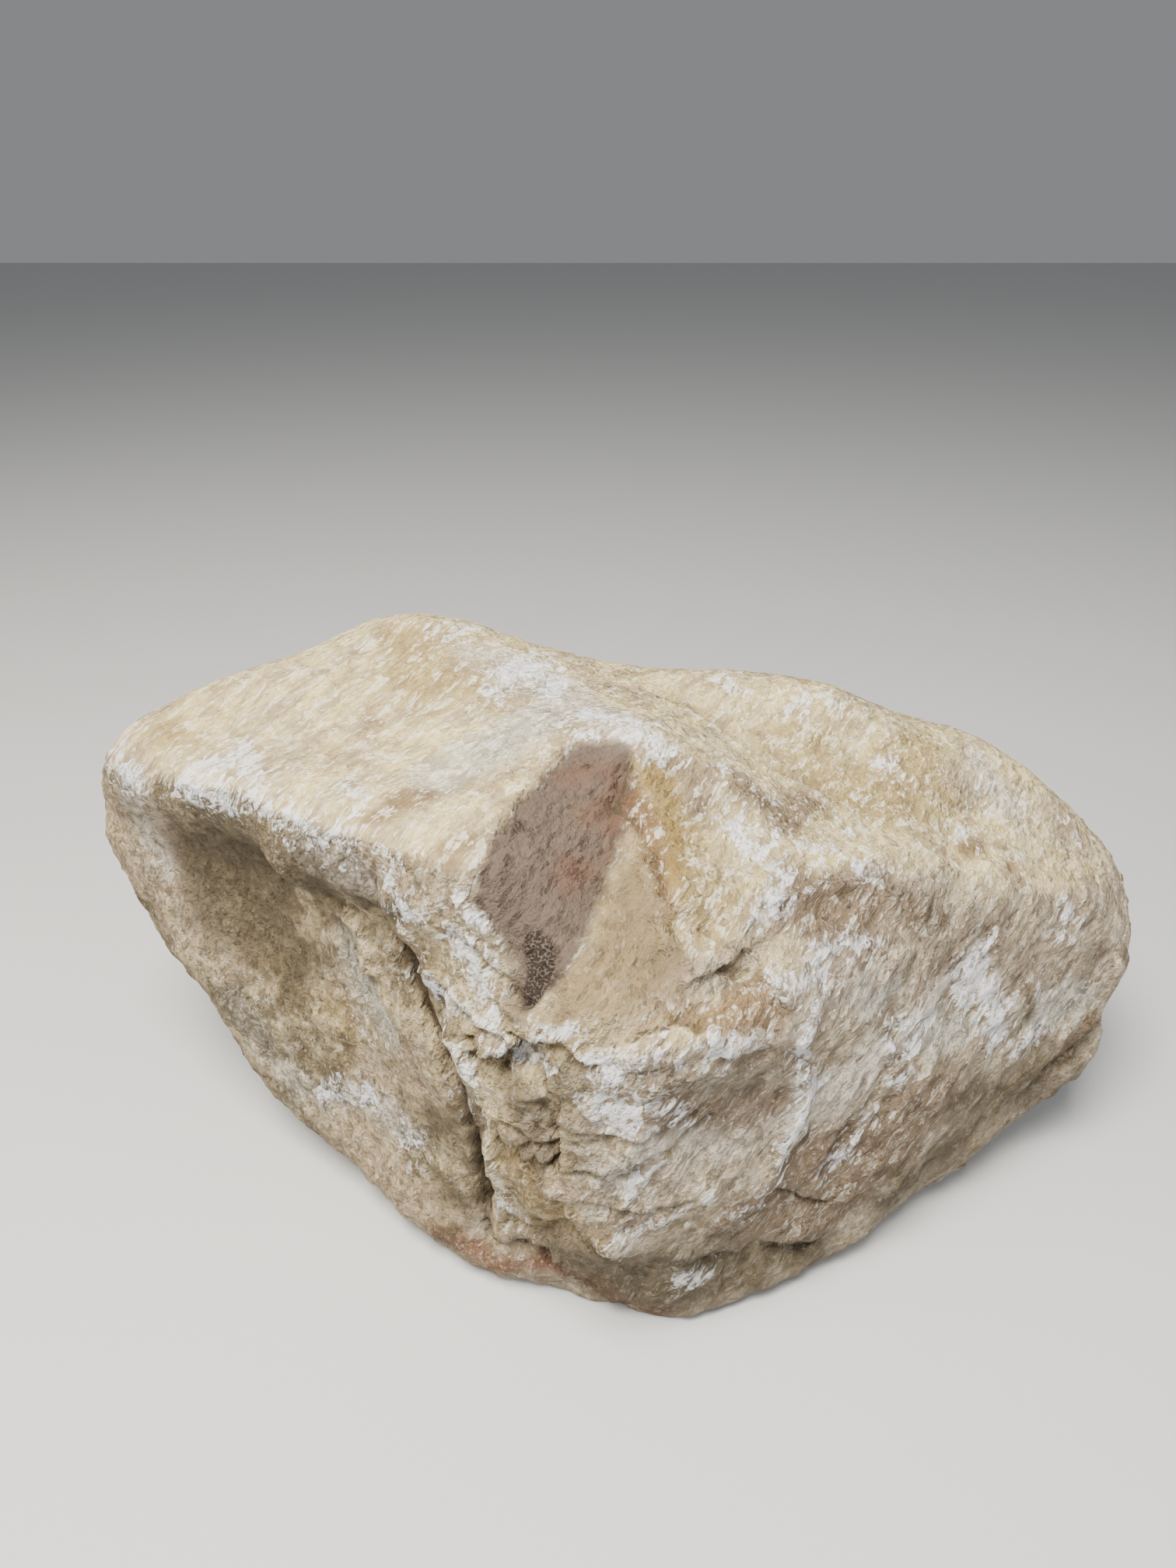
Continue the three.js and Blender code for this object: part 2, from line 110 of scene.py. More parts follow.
def sight(right, down):
    """The place in the scene, in metres, where a line of sight meets the solid."""
    look = Vector((right - FRAME_WIDE / 2, FRAME_HIGH / 2 - down, -LENS_IN_DOTS))
    look.rotate(camera.rotation_euler)
    met = solid_surface.ray_cast(camera.location, look)[0]
    return place(*np.round(np.array(met) / MM + MIDDLE_FROM_ZERO))


def spots(readings):
    """Places for a list of readings: three numbers in millimetres, or two in the camera's dots."""
    return [place(*r) if len(r) == 3 else sight(*r) for r in readings]


print("the middle of the frame meets the stone at", sight(FRAME_WIDE / 2, FRAME_HIGH / 2).round(3))

# %% [markdown]
# ## A skin fine enough to carve
#
# The solid is made of a few thousand flat triangles. To carve chips a few millimetres deep, its skin needs
# points every 2 or 3 mm. Subdivision rounds the triangles into each other, and a voxel remesh lays an even
# grid of small quads over the result. Subdivision alone would keep the solid's long thin triangles, and a
# remesh alone its flat faces.

# %% Make the fine skin
SKIN_STEP = 2.4 * MM
boulder = bpy.data.objects.new("honeycomb_calcite", solid.data.copy())
bpy.context.scene.collection.objects.link(boulder)


def settle():
    """Applies the boulder's modifiers and returns the mesh that they make."""
    graph = bpy.context.evaluated_depsgraph_get()
    mesh = bpy.data.meshes.new_from_object(boulder.evaluated_get(graph), depsgraph=graph)
    boulder.modifiers.clear()
    boulder.data = mesh
    mesh.name = "honeycomb_calcite"
    return mesh


weld = boulder.modifiers.new("join the triangles' corners", "WELD")
weld.merge_threshold = 1e-5
round_off = boulder.modifiers.new("round the triangles off", "SUBSURF")
round_off.levels = 2
even_out = boulder.modifiers.new("even out the grid", "REMESH")
even_out.mode = "VOXEL"
even_out.voxel_size = SKIN_STEP
skin = settle()
print("skin points:", len(skin.vertices))

# %% [markdown]
# ## Reading the skin as tables of numbers
#
# Carving point by point in Python is slow, but one line of numpy moves a hundred thousand points together.
# The skin is read into an array of places and one of outward directions, and its edges tell which points
# are neighbours, so that a value can be smoothed over the surface.

# %% Read places, directions and neighbours
count = len(skin.vertices)
edge_ends = np.empty(len(skin.edges) * 2, dtype=np.int64)
skin.edges.foreach_get("vertices", edge_ends)
edge_ends = edge_ends.reshape(-1, 2)
neighbour_count = np.bincount(edge_ends.ravel(), minlength=count)


def read_places():
    """Every point of the skin, in metres."""
    places = np.empty(count * 3)
    skin.vertices.foreach_get("co", places)
    return places.reshape(-1, 3)


def read_directions():
    """The outward direction at every point."""
    directions = np.empty(count * 3, dtype=np.float32)
    skin.vertex_normals.foreach_get("vector", directions)
    return directions.reshape(-1, 3).astype(float)


def write_places(places):
    """Moves every point of the skin."""
    skin.vertices.foreach_set("co", places.ravel())
    skin.update()


def spread(values, rounds):
    """Averages every point's value with its neighbours', several times over."""
    values = np.array(values, dtype=float)
    columns = values.reshape(count, -1)
    first, second = edge_ends.T
    for _ in range(rounds):
        for c in range(columns.shape[1]):
            column = columns[:, c]
            around = np.bincount(first, weights=column[second], minlength=count)
            around += np.bincount(second, weights=column[first], minlength=count)
            columns[:, c] = (column + around) / (1 + neighbour_count)
    return columns.reshape(values.shape)


smooth_places = read_places()
directions = read_directions()
print("the skin reaches from", smooth_places.min(axis=0).round(3), "to", smooth_places.max(axis=0).round(3))

# %% [markdown]
# ## The way the fibres run
#
# Honeycomb calcite is a bundle of fibres that all lean one way, here from the front left up to the back
# right. Seen end on, as on the left face, they are grains, and from the side, as on the top, they are
# streaks. A pattern that is stretched along the first of these axes gives both for free.

# %% Axes along and across the fibres
ALONG = np.array((0.57, 0.62, 0.54))
ALONG /= np.linalg.norm(ALONG)
ACROSS = np.cross(ALONG, (0, 0, 1))
ACROSS /= np.linalg.norm(ACROSS)
FIBRE_AXES = np.stack([ALONG, ACROSS, np.cross(ALONG, ACROSS)])


def fibre_grain(points, length, width):
    """Places counted in fibre lengths along the bundle and fibre widths across it."""
    return (points @ FIBRE_AXES.T) / (np.array((length, width, width)) * MM)


print("the fibres run along", ALONG.round(2))

# %% [markdown]
# ## Roughness from noise
#
# Broken stone has three kinds of roughness. Soft lumps come from smooth noise, and the thin crests of
# splinters from ridged noise. Chips come from cells: a flake leaves a shallow bowl, so each cell is a bowl
# with a tilt of its own, and the lowest bowl wins, which leaves sharp crests between. All are fixed
# patterns in space, so the carving is the same every time.

# %% Noise helpers
def shifted(points, seed):
    """The points as a list, moved to a part of the noise that nothing else uses."""
    return (points + np.array((7.31, 3.17, 5.93)) * seed).tolist()


def lumps(points, octaves=3, seed=0):
    """Soft noise from about -1 to 1."""
    return np.array([noise.fractal(p, 0.8, 2.0, octaves) for p in shifted(points, seed)])


def crests(points, octaves=3, seed=0):
    """Noise with sharp crests, from about -1 to 1."""
    heights = [noise.ridged_multi_fractal(p, 0.9, 2.1, octaves, 1.0, 2.0) for p in shifted(points, seed)]
    return np.array(heights) - 1


def sway(points, size, amount, seed=0):
    """The points pushed about by soft noise, so that what follows them is not straight."""
    moved = points / (size * MM)
    push = np.stack([lumps(moved, 2, seed + i) for i in range(3)], axis=1)
    return points + push * amount * MM


def chips(points, seed=0, bowl=0.9, tilt=1.0):
    """Tilted shallow bowls that meet in sharp crests: height in cells, from about -0.3 to 0.4."""
    heights = np.empty(len(points))
    half = Vector((0.5, 0.5, 0.5))
    for i, p in enumerate(shifted(points, seed)):
        away = [Vector(p) - middle for middle in noise.voronoi(p)[1]]
        leans = [noise.cell_vector((Vector(p) - offset) * 9.1) - half for offset in away]
        heights[i] = min(bowl * offset.length_squared + tilt * offset.dot(lean)
                         for offset, lean in zip(away, leans))
    return heights - 0.15 * bowl


sample = chips(np.linspace((0, 0, 0), (30, 17, 9), 400))
print("chips are", sample.min().round(2), "to", sample.max().round(2), "cells high")

# %% [markdown]
# ## How much of each roughness each face has
#
# The top has been rained on, so it is worn almost smooth. The left face broke across the fibres and is all
# grains. The corner right of the long crack is shattered into blocks. These shares follow the way the
# surface faces and where it is, and fade gently from one to the next.

# %% Shares of worn, grainy and shattered surface
def fade(distance, reach):
    """1 at no distance, falling smoothly to 0 at the reach."""
    share = np.clip(distance / reach, 0, 1)
    return (1 - share * share) ** 2


def ramp(values, low, high):
    """0 below low, 1 above high, and smooth between."""
    share = np.clip((values - low) / (high - low), 0, 1)
    return share * share * (3 - 2 * share)


LEFT_FACE = np.array((-0.53, -0.85, 0.0))
RIGHT_FACE = np.array((0.6, -0.75, -0.25))
soft_directions = spread(directions, 12)
soft_directions /= np.linalg.norm(soft_directions, axis=1, keepdims=True)
worn = ramp(soft_directions[:, 2], 0.45, 0.85)
grainy = ramp(soft_directions @ LEFT_FACE, 0.45, 0.85) * (1 - worn) * ramp(-smooth_places[:, 0], 0.07, 0.12)
front_corner = place(-30, -105, 170)
from_corner = (smooth_places - front_corner) / (np.array((75, 60, 120)) * MM)
shattered = fade(np.linalg.norm(from_corner, axis=1), 1.25) * (1 - worn)
print("worn, grainy, shattered:", [round(float(s.mean()), 2) for s in (worn, grainy, shattered)])

# %% [markdown]
# ## Measuring marks on the stone
#
# A long mark is a line of readings with a reach, and a broad one is an outline of readings. Both come out
# as one number per point: how many millimetres inside the edge of the mark the point is, and less than 0
# outside. The points are swayed first, so no edge is straight.

# %% Measure lines and outlines
def nearest_on(line, points):
    """For every point: its distance from a line of places, and the vector from the line to the point."""
    best = np.full(len(points), np.inf)
    offset = np.zeros_like(points)
    for start, end in zip(line[:-1], line[1:]):
        span = end - start
        along = np.clip((points - start) @ span / (span @ span), 0, 1)
        away = points - start - along[:, None] * span
        distance = np.linalg.norm(away, axis=1)
        nearer = distance < best
        best[nearer] = distance[nearer]
        offset[nearer] = away[nearer]
    return best, offset


def along_skin(line, points):
    """The same, but counted along the skin: how far the line lies under or over it hardly matters."""
    _, offset = nearest_on(line, points)
    depth = np.einsum("ij,ij->i", offset, soft_directions)
    offset = offset - depth[:, None] * soft_directions
    return np.linalg.norm(offset, axis=1) + np.maximum(np.abs(depth) - 15 * MM, 0), offset


ragged = sway(smooth_places, 18, 3, seed=3)
OUTSIDE = -40.0


def inside_strips(*strips):
    """Each strip is (reach, line of readings)."""
    inside = np.full(count, OUTSIDE)
    for reach, readings in strips:
        distance, _ = along_skin(spots(readings), ragged)
        inside = np.maximum(inside, reach - distance / MM)
    return inside


def inside_outline(readings, thickness=30):
    """The outline is laid flat on its best plane, and only skin within the thickness counts."""
    corners = np.array(spots(readings))
    middle = corners.mean(axis=0)
    across, up, off = np.linalg.svd(corners - middle)[2]
    flat = np.stack([(ragged - middle) @ across, (ragged - middle) @ up], axis=1)
    flat_corners = np.stack([(corners - middle) @ across, (corners - middle) @ up], axis=1)
    crossings = np.zeros(count, dtype=int)
    for (x1, y1), (x2, y2) in zip(flat_corners, np.roll(flat_corners, -1, axis=0)):
        between = (y1 > flat[:, 1]) != (y2 > flat[:, 1])
        crossings += between & (flat[:, 0] < x1 + (flat[:, 1] - y1) * (x2 - x1) / (y2 - y1 + 1e-12))
    edge, _ = nearest_on(list(flat_corners) + [flat_corners[0]], flat)
    inside = np.where(crossings % 2 == 1, edge, -edge) / MM
    return np.minimum(inside, thickness - np.abs((ragged - middle) @ off) / MM)


print("marks can be measured")

# %% [markdown]
# ## Softer edges
#
# In the solid the brow, the shelf and the left lip are as hard as its triangles. On the stone they are
# rounded, so the skin is smoothed along those three lines before it is carved.

# %% Soften the brow, the shelf and the left lip
BROW_LINE = [(92, -51, 283), (122, -27, 284), (160, -7, 272), (168, -14, 264)]
SHELF = [(-12, -132, 231), (-1, -135, 230), (44, -127, 230), (91, -97, 211), (108, -86, 195)]
LEFT_LIP = [(-200, -12, 314), (-182, -22, 314), (-160, -37, 314), (-139, -42, 311), (-113, -66, 313),
            (-95, -74, 310)]
SOFTENING_ROUNDS = 110
SOFT_REACH = 42  # millimetres to each side of a line
softer = spread(smooth_places, SOFTENING_ROUNDS) - smooth_places
for line in (BROW_LINE, SHELF, LEFT_LIP):
    distance, _ = nearest_on(spots(line), smooth_places)
    smooth_places = smooth_places + softer * fade(distance, SOFT_REACH * MM)[:, None]
print("largest move:", round(float(np.abs(softer).max()) / MM, 1), "mm")

# %% [markdown]
# ## Spalls
#
# A spall is a place where a flake has come away. The biggest is the dish below the crest; others are the
# brow and the chip on the right, the hollow under the shelf and a panel low on the front corner. Each is an
# outline, cut down sharply at its edge and rising to the old surface further in.

# %% Cut the spalls
DISH = [
    (745, 948), (802, 952), (818, 985), (816, 1030), (806, 1052), (800, 1085), (783, 1135), (765, 1190),
    (742, 1225), (722, 1262), (700, 1290), (672, 1312), (650, 1300), (655, 1240), (636, 1200), (612, 1160),
    (616, 1110), (640, 1060), (690, 1005),
]
WALL_FOOT = [
    (812, 1022), (832, 1030), (850, 1054), (854, 1090), (860, 1130), (864, 1190), (852, 1164), (836, 1130),
    (822, 1095), (810, 1062), (806, 1045),
]
BROW = [
    (1030, 1140), (1060, 1125), (1100, 1128), (1145, 1145), (1150, 1190), (1100, 1200), (1040, 1190),
    (1008, 1170),
]
CHIP = [
    (935, 1247), (980, 1248), (1000, 1280), (1020, 1300), (1000, 1332), (940, 1322), (900, 1322),
    (858, 1312), (882, 1285), (925, 1290),
]
SHELF_HOLLOW = [
    (790, 1398), (24, -134, 233), (920, 1366), (970, 1356), (1020, 1370), (1035, 1390), (1000, 1412),
    (900, 1412), (820, 1410),
]
LIT_WALL = [
    (815, 981), (850, 983), (870, 1005), (880, 1050), (884, 1090), (874, 1150), (862, 1120), (852, 1080),
    (848, 1054), (832, 1030), (814, 1020),
]
TAN_FLOOR = [
    (803, 1075), (822, 1098), (838, 1136), (862, 1195), (900, 1232), (880, 1290), (800, 1322), (720, 1322),
    (690, 1318), (742, 1225), (783, 1140),
]
CORNER_PANEL = [
    (632, 1467), (680, 1468), (702, 1500), (739, 1556), (782, 1605), (700, 1592), (647, 1576), (638, 1530),
]


def spall(outline, depth, run, thickness):
    """Depth in millimetres at the edge, running out to nothing over the run."""
    inside = inside_outline(outline, thickness)
    return -depth * MM * ramp(inside, -0.5, 2.0) * (1 - ramp(inside, 0, run))


SPALLS = [  # outline, depth at the edge, run, thickness
    (DISH, 2.5, 70, 30), (WALL_FOOT, 1.5, 14, 14), (BROW, 0.8, 34, 30), (CHIP, 2.0, 30, 16),
    (SHELF_HOLLOW, 0.5, 30, 30), (CORNER_PANEL, 6.0, 40, 30),
]
carved = np.zeros(count)
for outline, depth, run, thickness in SPALLS:
    carved += spall(outline, depth, run, thickness)
print("deepest spall:", round(float(carved.min()) / MM, 1), "mm")

# %% [markdown]
# ## Cracks, ledges and pits
#
# The large breaks are in the solid, but only as soft bends. Here the same lines are cut again, narrower and
# sharper. Each has a side that it looks toward, and the surface is raised on that side and lowered on the
# other. A crack is lowered on both. The veins are raised on both, and so is the swelling under the left
# lip.

# %% Cut the lines
def cut(readings, toward, near, far):
    """Height of a ledge or crack in metres. near and far are (height, reach) in millimetres."""
    distance, offset = along_skin(spots(readings), ragged)
    side = ramp(offset @ (np.array(toward) / np.linalg.norm(toward)), -1.5 * MM, 1.5 * MM)
    near_height = near[0] * fade(distance, near[1] * MM)
    far_height = far[0] * fade(distance, far[1] * MM)
    return (side * near_height + (1 - side) * far_height) * MM


LONG_CRACK = [(-127, -37, 261), (-120, -41, 241), (-110, -59, 212), (-100, -73, 198), (-91, -81, 171),
              (-85, -81, 146), (-80, -76, 102), (-78, -74, 66)]
UNDER_LIP = [(-196, -7, 292), (-178, -11, 284), (-156, -28, 289), (-137, -35, 283), (-115, -61, 290)]
CRACK_LIP = [(-112, -61, 283), (-105, -65, 263), (-98, -63, 217), (-86, -92, 217), (-77, -103, 194),
             (-73, -97, 152), (-68, -104, 130), (-66, -97, 88)]
DISH_STEP = [(13, 16, 338), (9, 8, 332), (4, -12, 321), (18, -41, 303), (32, -79, 275)]
SHELF_CREASE = [(-10, -124, 240), (3, -128, 249), (22, -122, 256), (46, -112, 258)]
UP = (0, 0, 1)
RIGHT = (1, 0, 0)
VEINS = [
    [(111, -79, 229), (107, -92, 213), (114, -86, 178), (114, -86, 171), (101, -98, 146), (94, -100, 120),
     (80, -110, 102)],
    [(165, -48, 191), (167, -50, 174), (172, -52, 151), (151, -67, 120), (138, -73, 108)],
    [(26, -126, 164), (11, -133, 153), (7, -134, 140)],
]

carved += cut(LONG_CRACK, (1, -0.4, 0), (-8, 6), (-8, 7))
carved += cut(LONG_CRACK, (1, -0.4, 0), (0, 6), (-3, 20))
carved += cut(CRACK_LIP, RIGHT, (2, 8), (2, 4))
carved += cut(UNDER_LIP, UP, (9, 32), (9, 36))
carved += cut(DISH_STEP[:3], (-1, 0, 0), (-5, 9), (1.5, 7))
carved += cut(DISH_STEP[2:], (-1, 0, 0), (2.0, 9), (-5, 10))
carved += cut(SHELF, UP, (-1, 12), (4, 24))
carved += cut(SHELF_CREASE, UP, (-2, 7), (0.5, 8))
for vein in VEINS:
    carved += cut(vein, RIGHT, (2.5, 7), (2.5, 7))
print("deepest cut so far:", round(float(carved.min()) / MM, 1), "mm")

# %% [markdown]
# Shorter breaks cross the front corner, and a few lie on the left face, at the brow and the chip, and
# behind the dish. They are cut the same way. Pits are single readings, each with its width, height and
# depth.

# %% Cut the short breaks
SHORT_BREAKS = [
    # readings, toward, near, far
    ([(-77, -98, 226), (-63, -108, 219), (-42, -115, 238)], UP, (3, 9), (-9, 8)),
    ([(-42, -119, 225), (-31, -126, 210), (-30, -127, 183), (-28, -127, 159)], RIGHT, (4, 10), (-9, 7)),
    ([(-61, -110, 153), (-39, -123, 161), (-10, -130, 163), (13, -134, 170)], UP, (3, 9), (-7, 7)),
    ([(-65, -109, 170), (-39, -123, 148), (-17, -127, 122), (1, -125, 93), (34, -118, 70)], (0.8, 0, 0.6),
     (5, 10), (-4, 14)),
    ([(-72, -82, 50), (-46, -102, 66), (-39, -99, 47), (-22, -104, 31), (7, -109, 15)], UP,
     (3, 8), (-9, 10)),
    ([(44, -97, 258), (64, -82, 266), (75, -74, 268)], (-0.3, 0, 1), (2, 8), (-2, 8)),
    ([(75, -74, 268), (94, -86, 241)], (1, 0, 0.5), (3, 8), (-2, 10)),
    (BROW_LINE, (0, 0.5, 1), (-0.5, 12), (4, 20)),
    ([(-8, -127, 96), (29, -119, 76), (84, -99, 61), (127, -79, 43)], UP, (3, 10), (-6, 12)),
    ([(100, -97, 106), (134, -77, 76)], UP, (1, 5), (-5, 4)),
    ([(-196, 0, 290), (-173, -2, 261), (-148, -17, 243), (-142, -30, 222)], (1, 0, 0.5), (4, 9), (1, 8)),
    ([(-158, -13, 222), (-154, -20, 203), (-150, -26, 184)], RIGHT, (3, 8), (-3, 8)),
    ([(-206, 24, 258), (-214, 26, 243)], RIGHT, (-5, 4), (-5, 4)),
    ([(-104, -70, 248), (-80, -92, 236), (-58, -106, 232)], UP, (3, 8), (-6, 8)),
    ([(-70, -104, 182), (-48, -119, 176), (-32, -125, 172)], UP, (2, 8), (-4, 9)),
    ([(-30, -127, 196), (0, -134, 190), (14, -133, 186)], UP, (2, 8), (-2, 8)),
    ([(-26, -126, 140), (10, -132, 132), (40, -124, 128)], UP, (1.5, 7), (-3, 8)),
    ([(-86, -80, 282), (-66, -96, 270), (-48, -108, 262)], UP, (1.5, 7), (-3, 8)),
    ([(-77, -95, 216), (-59, -109, 226), (-52, -110, 231)], UP, (4, 9), (-7, 9)),
    ([(-56, -109, 238), (-42, -112, 237), (-27, -123, 241), (-20, -130, 235)], UP, (3, 8), (-5, 9)),
    ([(39, -97, 261), (48, -93, 265), (62, -80, 264), (71, -75, 256)], UP, (2, 7), (-4, 9)),
    ([(27, 116, 334), (50, 109, 327), (72, 93, 319), (99, 63, 307), (136, 55, 293)], (-0.5, -0.8, 0),
     (2, 9), (-3, 16)),
]
for readings, toward, near, far in SHORT_BREAKS:
    carved += cut(readings, toward, near, far)

PITS = [  # reading, reach across, reach up, depth
    ((-97, -78, 184), 5, 16, 12), ((126, -32, 268), 28, 18, 6), ((-99, -73, 226), 6, 9, 9),
    ((47, -68, 279), 12, 8, 3), ((-60, -108, 212), 7, 6, 5), ((60, -84, 262), 7, 5, 3),
    ((-44, -98, 55), 9, 7, 8), ((44, -115, 250), 7, 4, 4), ((-82, -82, 96), 5, 14, 6),
]
for reading, across, up, depth in PITS:
    offset = (ragged - place(*reading)) / (np.array((across, across, up)) * MM)
    carved -= depth * MM * fade(np.linalg.norm(offset, axis=1), 1.0)
print("deepest cut:", round(float(carved.min()) / MM, 1), "mm")

# %% [markdown]
# ## Chips, splinters and grains
#
# Now the whole skin is roughened. Large and small chips are stretched along the fibres, so they break off
# as splinters, and each face takes its own share.

# %% Roughen the skin
bent = sway(smooth_places, 40, 6, seed=11)
bent_more = sway(smooth_places, 20, 5, seed=8)
large_chips = chips(fibre_grain(bent, 80, 36), seed=1)
small_chips = chips(fibre_grain(bent_more, 34, 15), seed=2)
tiny_chips = chips(fibre_grain(bent_more, 16, 8), seed=14)
blocks = chips(bent_more / (np.array((36, 36, 24)) * MM), seed=9, bowl=0.6, tilt=1.3)
splinters = crests(fibre_grain(bent_more, 40, 13), 3, seed=7)
soft_lumps = lumps(smooth_places / (85 * MM), 3, seed=5)

quiet = ramp(inside_outline(DISH), -2, 6)
calm = np.maximum(inside_outline(TAN_FLOOR, 20), inside_outline(LIT_WALL, 16))
quiet = np.maximum(quiet, 0.75 * ramp(calm, -2, 6))
rough = (1 - 0.85 * worn) * (1 - 0.8 * quiet) * (1 - 0.4 * grainy)
LUMP, LARGE_CHIP, SMALL_CHIP, TINY_CHIP, BLOCK, SPLINTER = 2.0, 9, 6, 3.6, 1.5, 0.8  # heights, mm
relief = LUMP * soft_lumps
relief += LARGE_CHIP * large_chips * rough * (0.6 + 0.4 * shattered)
relief += SMALL_CHIP * small_chips * rough * (0.5 + 0.5 * shattered)
relief += TINY_CHIP * tiny_chips * (0.12 + 0.88 * rough)
relief += BLOCK * blocks * shattered
relief += SPLINTER * splinters * (0.25 + 0.75 * rough)
print("relief from", round(float(relief.min()), 1), "to", round(float(relief.max()), 1), "mm")

# %% [markdown]
# The shattered corner also lies in layers, a finger thick, each standing a little out over the one below. A
# saw-tooth does this: it grows over the thickness of a layer and drops back at its end.

# %% Layers in the front corner
LAYER, OVERHANG = 15, 2.5  # thickness of a layer and how far it stands out, in millimetres
LAYERS_LOOK = np.array((0.18, -0.25, 1.0))
layer_count = bent_more @ LAYERS_LOOK / (LAYER * MM) + 1.2 * lumps(smooth_places / (45 * MM), 2, seed=31)
through = layer_count - np.floor(layer_count)
overhang = ramp(through, 0.0, 0.75) * (1 - ramp(through, 0.8, 1.0))
broken_off = ramp(lumps(bent / (28 * MM), 2, seed=37), -0.3, 0.4)
relief += OVERHANG * (overhang - 0.5) * shattered * broken_off
print("layers in the corner:", int(layer_count[shattered > 0.2].max() - layer_count[shattered > 0.2].min()))

# %% [markdown]
# The relief is laid on along the outward directions. The bottom stays flat, because the boulder stands on
# it, and nothing may reach below the ground.

# %% Move the points
held_flat = ramp(smooth_places[:, 2], 0.001, 0.012)
places = smooth_places + directions * ((relief * MM + carved) * held_flat)[:, None]
places[:, 2] = np.maximum(places[:, 2], 0)
write_places(places)
for face in skin.polygons:
    face.use_smooth = True
directions = read_directions()
print("carved skin reaches from", places.min(axis=0).round(3), "to", places.max(axis=0).round(3))

# %% [markdown]
# ## Ridges and hollows
#
# Stone is bruised pale on its ridges, and its hollows and downward faces are darkened with painted shade
# and some dirt. To find the ridges and hollows, the skin is smoothed in a copy: where the real skin stands
# above the smooth one there is a ridge, and where it lies below, a hollow. It is done at three sizes, and
# stored on the mesh as attributes that the material can read.

# %% Measure ridges and hollows
def store(name, values):
    """Keeps one number per point on the mesh, for the material."""
    layer = skin.attributes.new(name, "FLOAT", "POINT")
    layer.data.foreach_set("value", np.ascontiguousarray(values, dtype=np.float32))


def height_over_smooth(rounds):
    """How far every point stands above the smoothed skin, in millimetres."""
    return np.einsum("ij,ij->i", places - spread(places, rounds), directions) / MM


small_height = height_over_smooth(5)
large_height = height_over_smooth(70)
broad_height = height_over_smooth(350)
store("ridge", 0.6 * (ramp(small_height, 0.1, 0.8) + ramp(large_height, 0.6, 3.5)))
# hollow and sheltered, small and broad hollows, are darkened in the material as painted shade with some
# dirt.
store("hollow", 0.6 * (ramp(-small_height, 0.1, 0.8) + ramp(-large_height, 0.4, 3.5)))
store("sheltered", ramp(-broad_height, 1.0, 9.0))
store("grainy", grainy)
store("worn", worn)
store("quiet", quiet)
# shaded, the faces turned to the right and front, take a greyer tan in the material as painted shade.
store("shaded", ramp(soft_directions @ RIGHT_FACE, 0.2, 0.8))
# under, the downward faces, is darkened in the material as painted shade.
store("under", ramp(-soft_directions[:, 2], -0.15, 0.5))
spreads = [height.std().round(2) for height in (small_height, large_height, broad_height)]
print("heights over the smooth skin:", spreads, "mm")

# %% [markdown]
# ## Stains and frosting
#
# The colours lie in patches, given as outlines and strips like the spalls. The material adds noise to
# the distance from the edge before it cuts it off, and that makes the edges ragged. The first patch is the
# frosting, which is crushed calcite: on the rim of the top, around the dish, down two veins on the front
# and on every knock of the right face. The back takes a few patches from soft noise.

